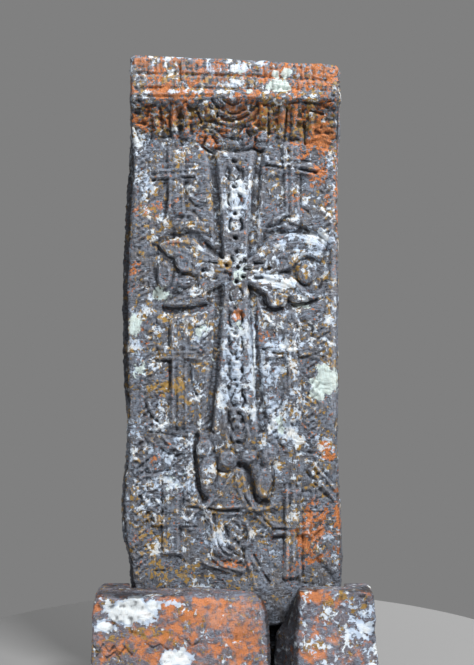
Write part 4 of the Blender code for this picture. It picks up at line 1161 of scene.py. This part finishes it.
def lichened_stone(name, lilac, smear):
    """Grey-violet stone with crusts of white, mint, orange and ochre lichen, with near-black painted shade
    in its hollows and painted highlight on its crests.

    lilac is how far the stone pales to lilac, and smear how softly its orange crust spreads.
    """
    shade = Shade(name)
    broad = shade.noise(11, 4, 0.6)
    patches = shade.noise(21, 5, 0.6)
    grain = shade.noise(230, 4, 0.65)
    stone, streaks = bare_stone(shade, broad, patches, grain, lilac, smear)
    look, crusts = crusted(shade, stone, broad, patches, grain, smear)

    bare = shade.ramp_straight(crusts, 1.0, 0.8 - 0.5 * smear)
    hollow = shade.field("hollow")
    # Painted shade, near black, where the hollow field is high
    look = shade.mix(shade.ramp(hollow, 0.14, 1.0, 0.0, 0.80), look, CAVITY)
    # Painted highlight where the hollow field is below 0: crests, the slab's right edge and its cornice
    look = shade.mix(shade.ramp(hollow, -0.10, -0.80, 0.0, 0.34), look, STONE_LIGHT, "SCREEN")
    dark_streaks = shade.math("MULTIPLY", shade.ramp(streaks, 0.44, 0.30, 0.0, 0.55), bare)
    look = shade.mix(dark_streaks, look, CAVITY)
    shade.links.new(look, shade.shader.inputs["Base Color"])
    shade.shader.inputs["Roughness"].default_value = 0.93
    shade.shader.inputs["Specular IOR Level"].default_value = 0.25

    rough = shade.math("ADD", shade.math("MULTIPLY", streaks, 1.6), shade.math("MULTIPLY", grain, 0.3))
    height = shade.math("MULTIPLY", rough, bare)
    height = shade.math("ADD", height, shade.math("MULTIPLY", crusts, 0.25))
    bump = shade.nodes.new("ShaderNodeBump")
    bump.inputs["Strength"].default_value = 1.0
    bump.inputs["Distance"].default_value = 0.006
    shade.links.new(height, bump.inputs["Height"])
    shade.links.new(bump.outputs["Normal"], shade.shader.inputs["Normal"])
    return shade.material


# Studio: each lamp's place, size in metres and power in watts

FLOOR_RADIUS = 1.3
LAMPS = {
    "key": ((2.3, -3.3, 5.0), 1.5, 435),
    "fill": ((-2.2, -3.9, 0.8), 2.6, 78),
    "rim": ((1.3, 2.9, 2.9), 1.8, 110),
}


def plain_material(name, tone, roughness):
    shade = Shade(name)
    shade.shader.inputs["Base Color"].default_value = tone
    shade.shader.inputs["Roughness"].default_value = roughness
    return shade.material


def studio():
    scene = bpy.context.scene
    bpy.ops.mesh.primitive_circle_add(
        vertices=96, radius=FLOOR_RADIUS, fill_type="NGON", location=(0, 0, -0.001)
    )
    floor = bpy.context.object
    floor.name = "floor"
    floor.data.materials.append(plain_material("pale_floor", colour(140, 140, 140), 0.95))

    world = bpy.data.worlds.new("studio")
    scene.world = world
    world.use_nodes = True
    backdrop = world.node_tree.nodes["Background"]
    backdrop.inputs["Color"].default_value = colour(128, 128, 128)

    centre = Vector((0.0, -0.1, 1.15))
    for name, (place, size, power) in LAMPS.items():
        lamp = bpy.data.objects.new(name, bpy.data.lights.new(name, "AREA"))
        lamp.data.energy = power
        lamp.data.size = size
        lamp.location = place
        lamp.rotation_euler = (centre - lamp.location).to_track_quat("-Z", "Y").to_euler()
        scene.collection.objects.link(lamp)

    camera = bpy.data.objects.new("camera", bpy.data.cameras.new("camera"))
    camera.data.sensor_width = SENSOR
    camera.data.lens = SENSOR / 2 / math.tan(math.radians(FIELD_OF_VIEW / 2))
    camera.location = (CAMERA_X, FACE_Y - CAMERA_DISTANCE, CAMERA_Z)
    camera.rotation_euler = (math.radians(90), 0, 0)
    scene.collection.objects.link(camera)
    scene.camera = camera
    scene.view_settings.view_transform = "Standard"


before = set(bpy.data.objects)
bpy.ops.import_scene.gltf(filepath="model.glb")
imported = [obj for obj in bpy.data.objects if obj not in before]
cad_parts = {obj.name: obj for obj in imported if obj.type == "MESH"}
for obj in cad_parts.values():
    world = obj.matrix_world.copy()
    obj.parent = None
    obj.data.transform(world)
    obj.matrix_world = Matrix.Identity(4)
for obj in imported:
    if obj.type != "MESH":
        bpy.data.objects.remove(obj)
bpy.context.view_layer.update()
slab_piece(lichened_stone("lichened_slab", 0.0, 0.0))
base_look = lichened_stone("lichened_base", 0.45, 1.0)
base_stone_piece(
    "base_stone_left", "rough_stone_left", base_look,
    ((LEFT_STONE_WHITE, 0.20), ((), 0.0), (LEFT_STONE_ORANGE, 0.20), (LEFT_STONE_OCHRE, 0.3)),
)
base_stone_piece(
    "base_stone_right", "rough_stone_right", base_look,
    ((RIGHT_STONE_WHITE, 0.42), ((), 0.0), (RIGHT_STONE_ORANGE, 0.12), (RIGHT_STONE_OCHRE, 0.3)),
)
studio()
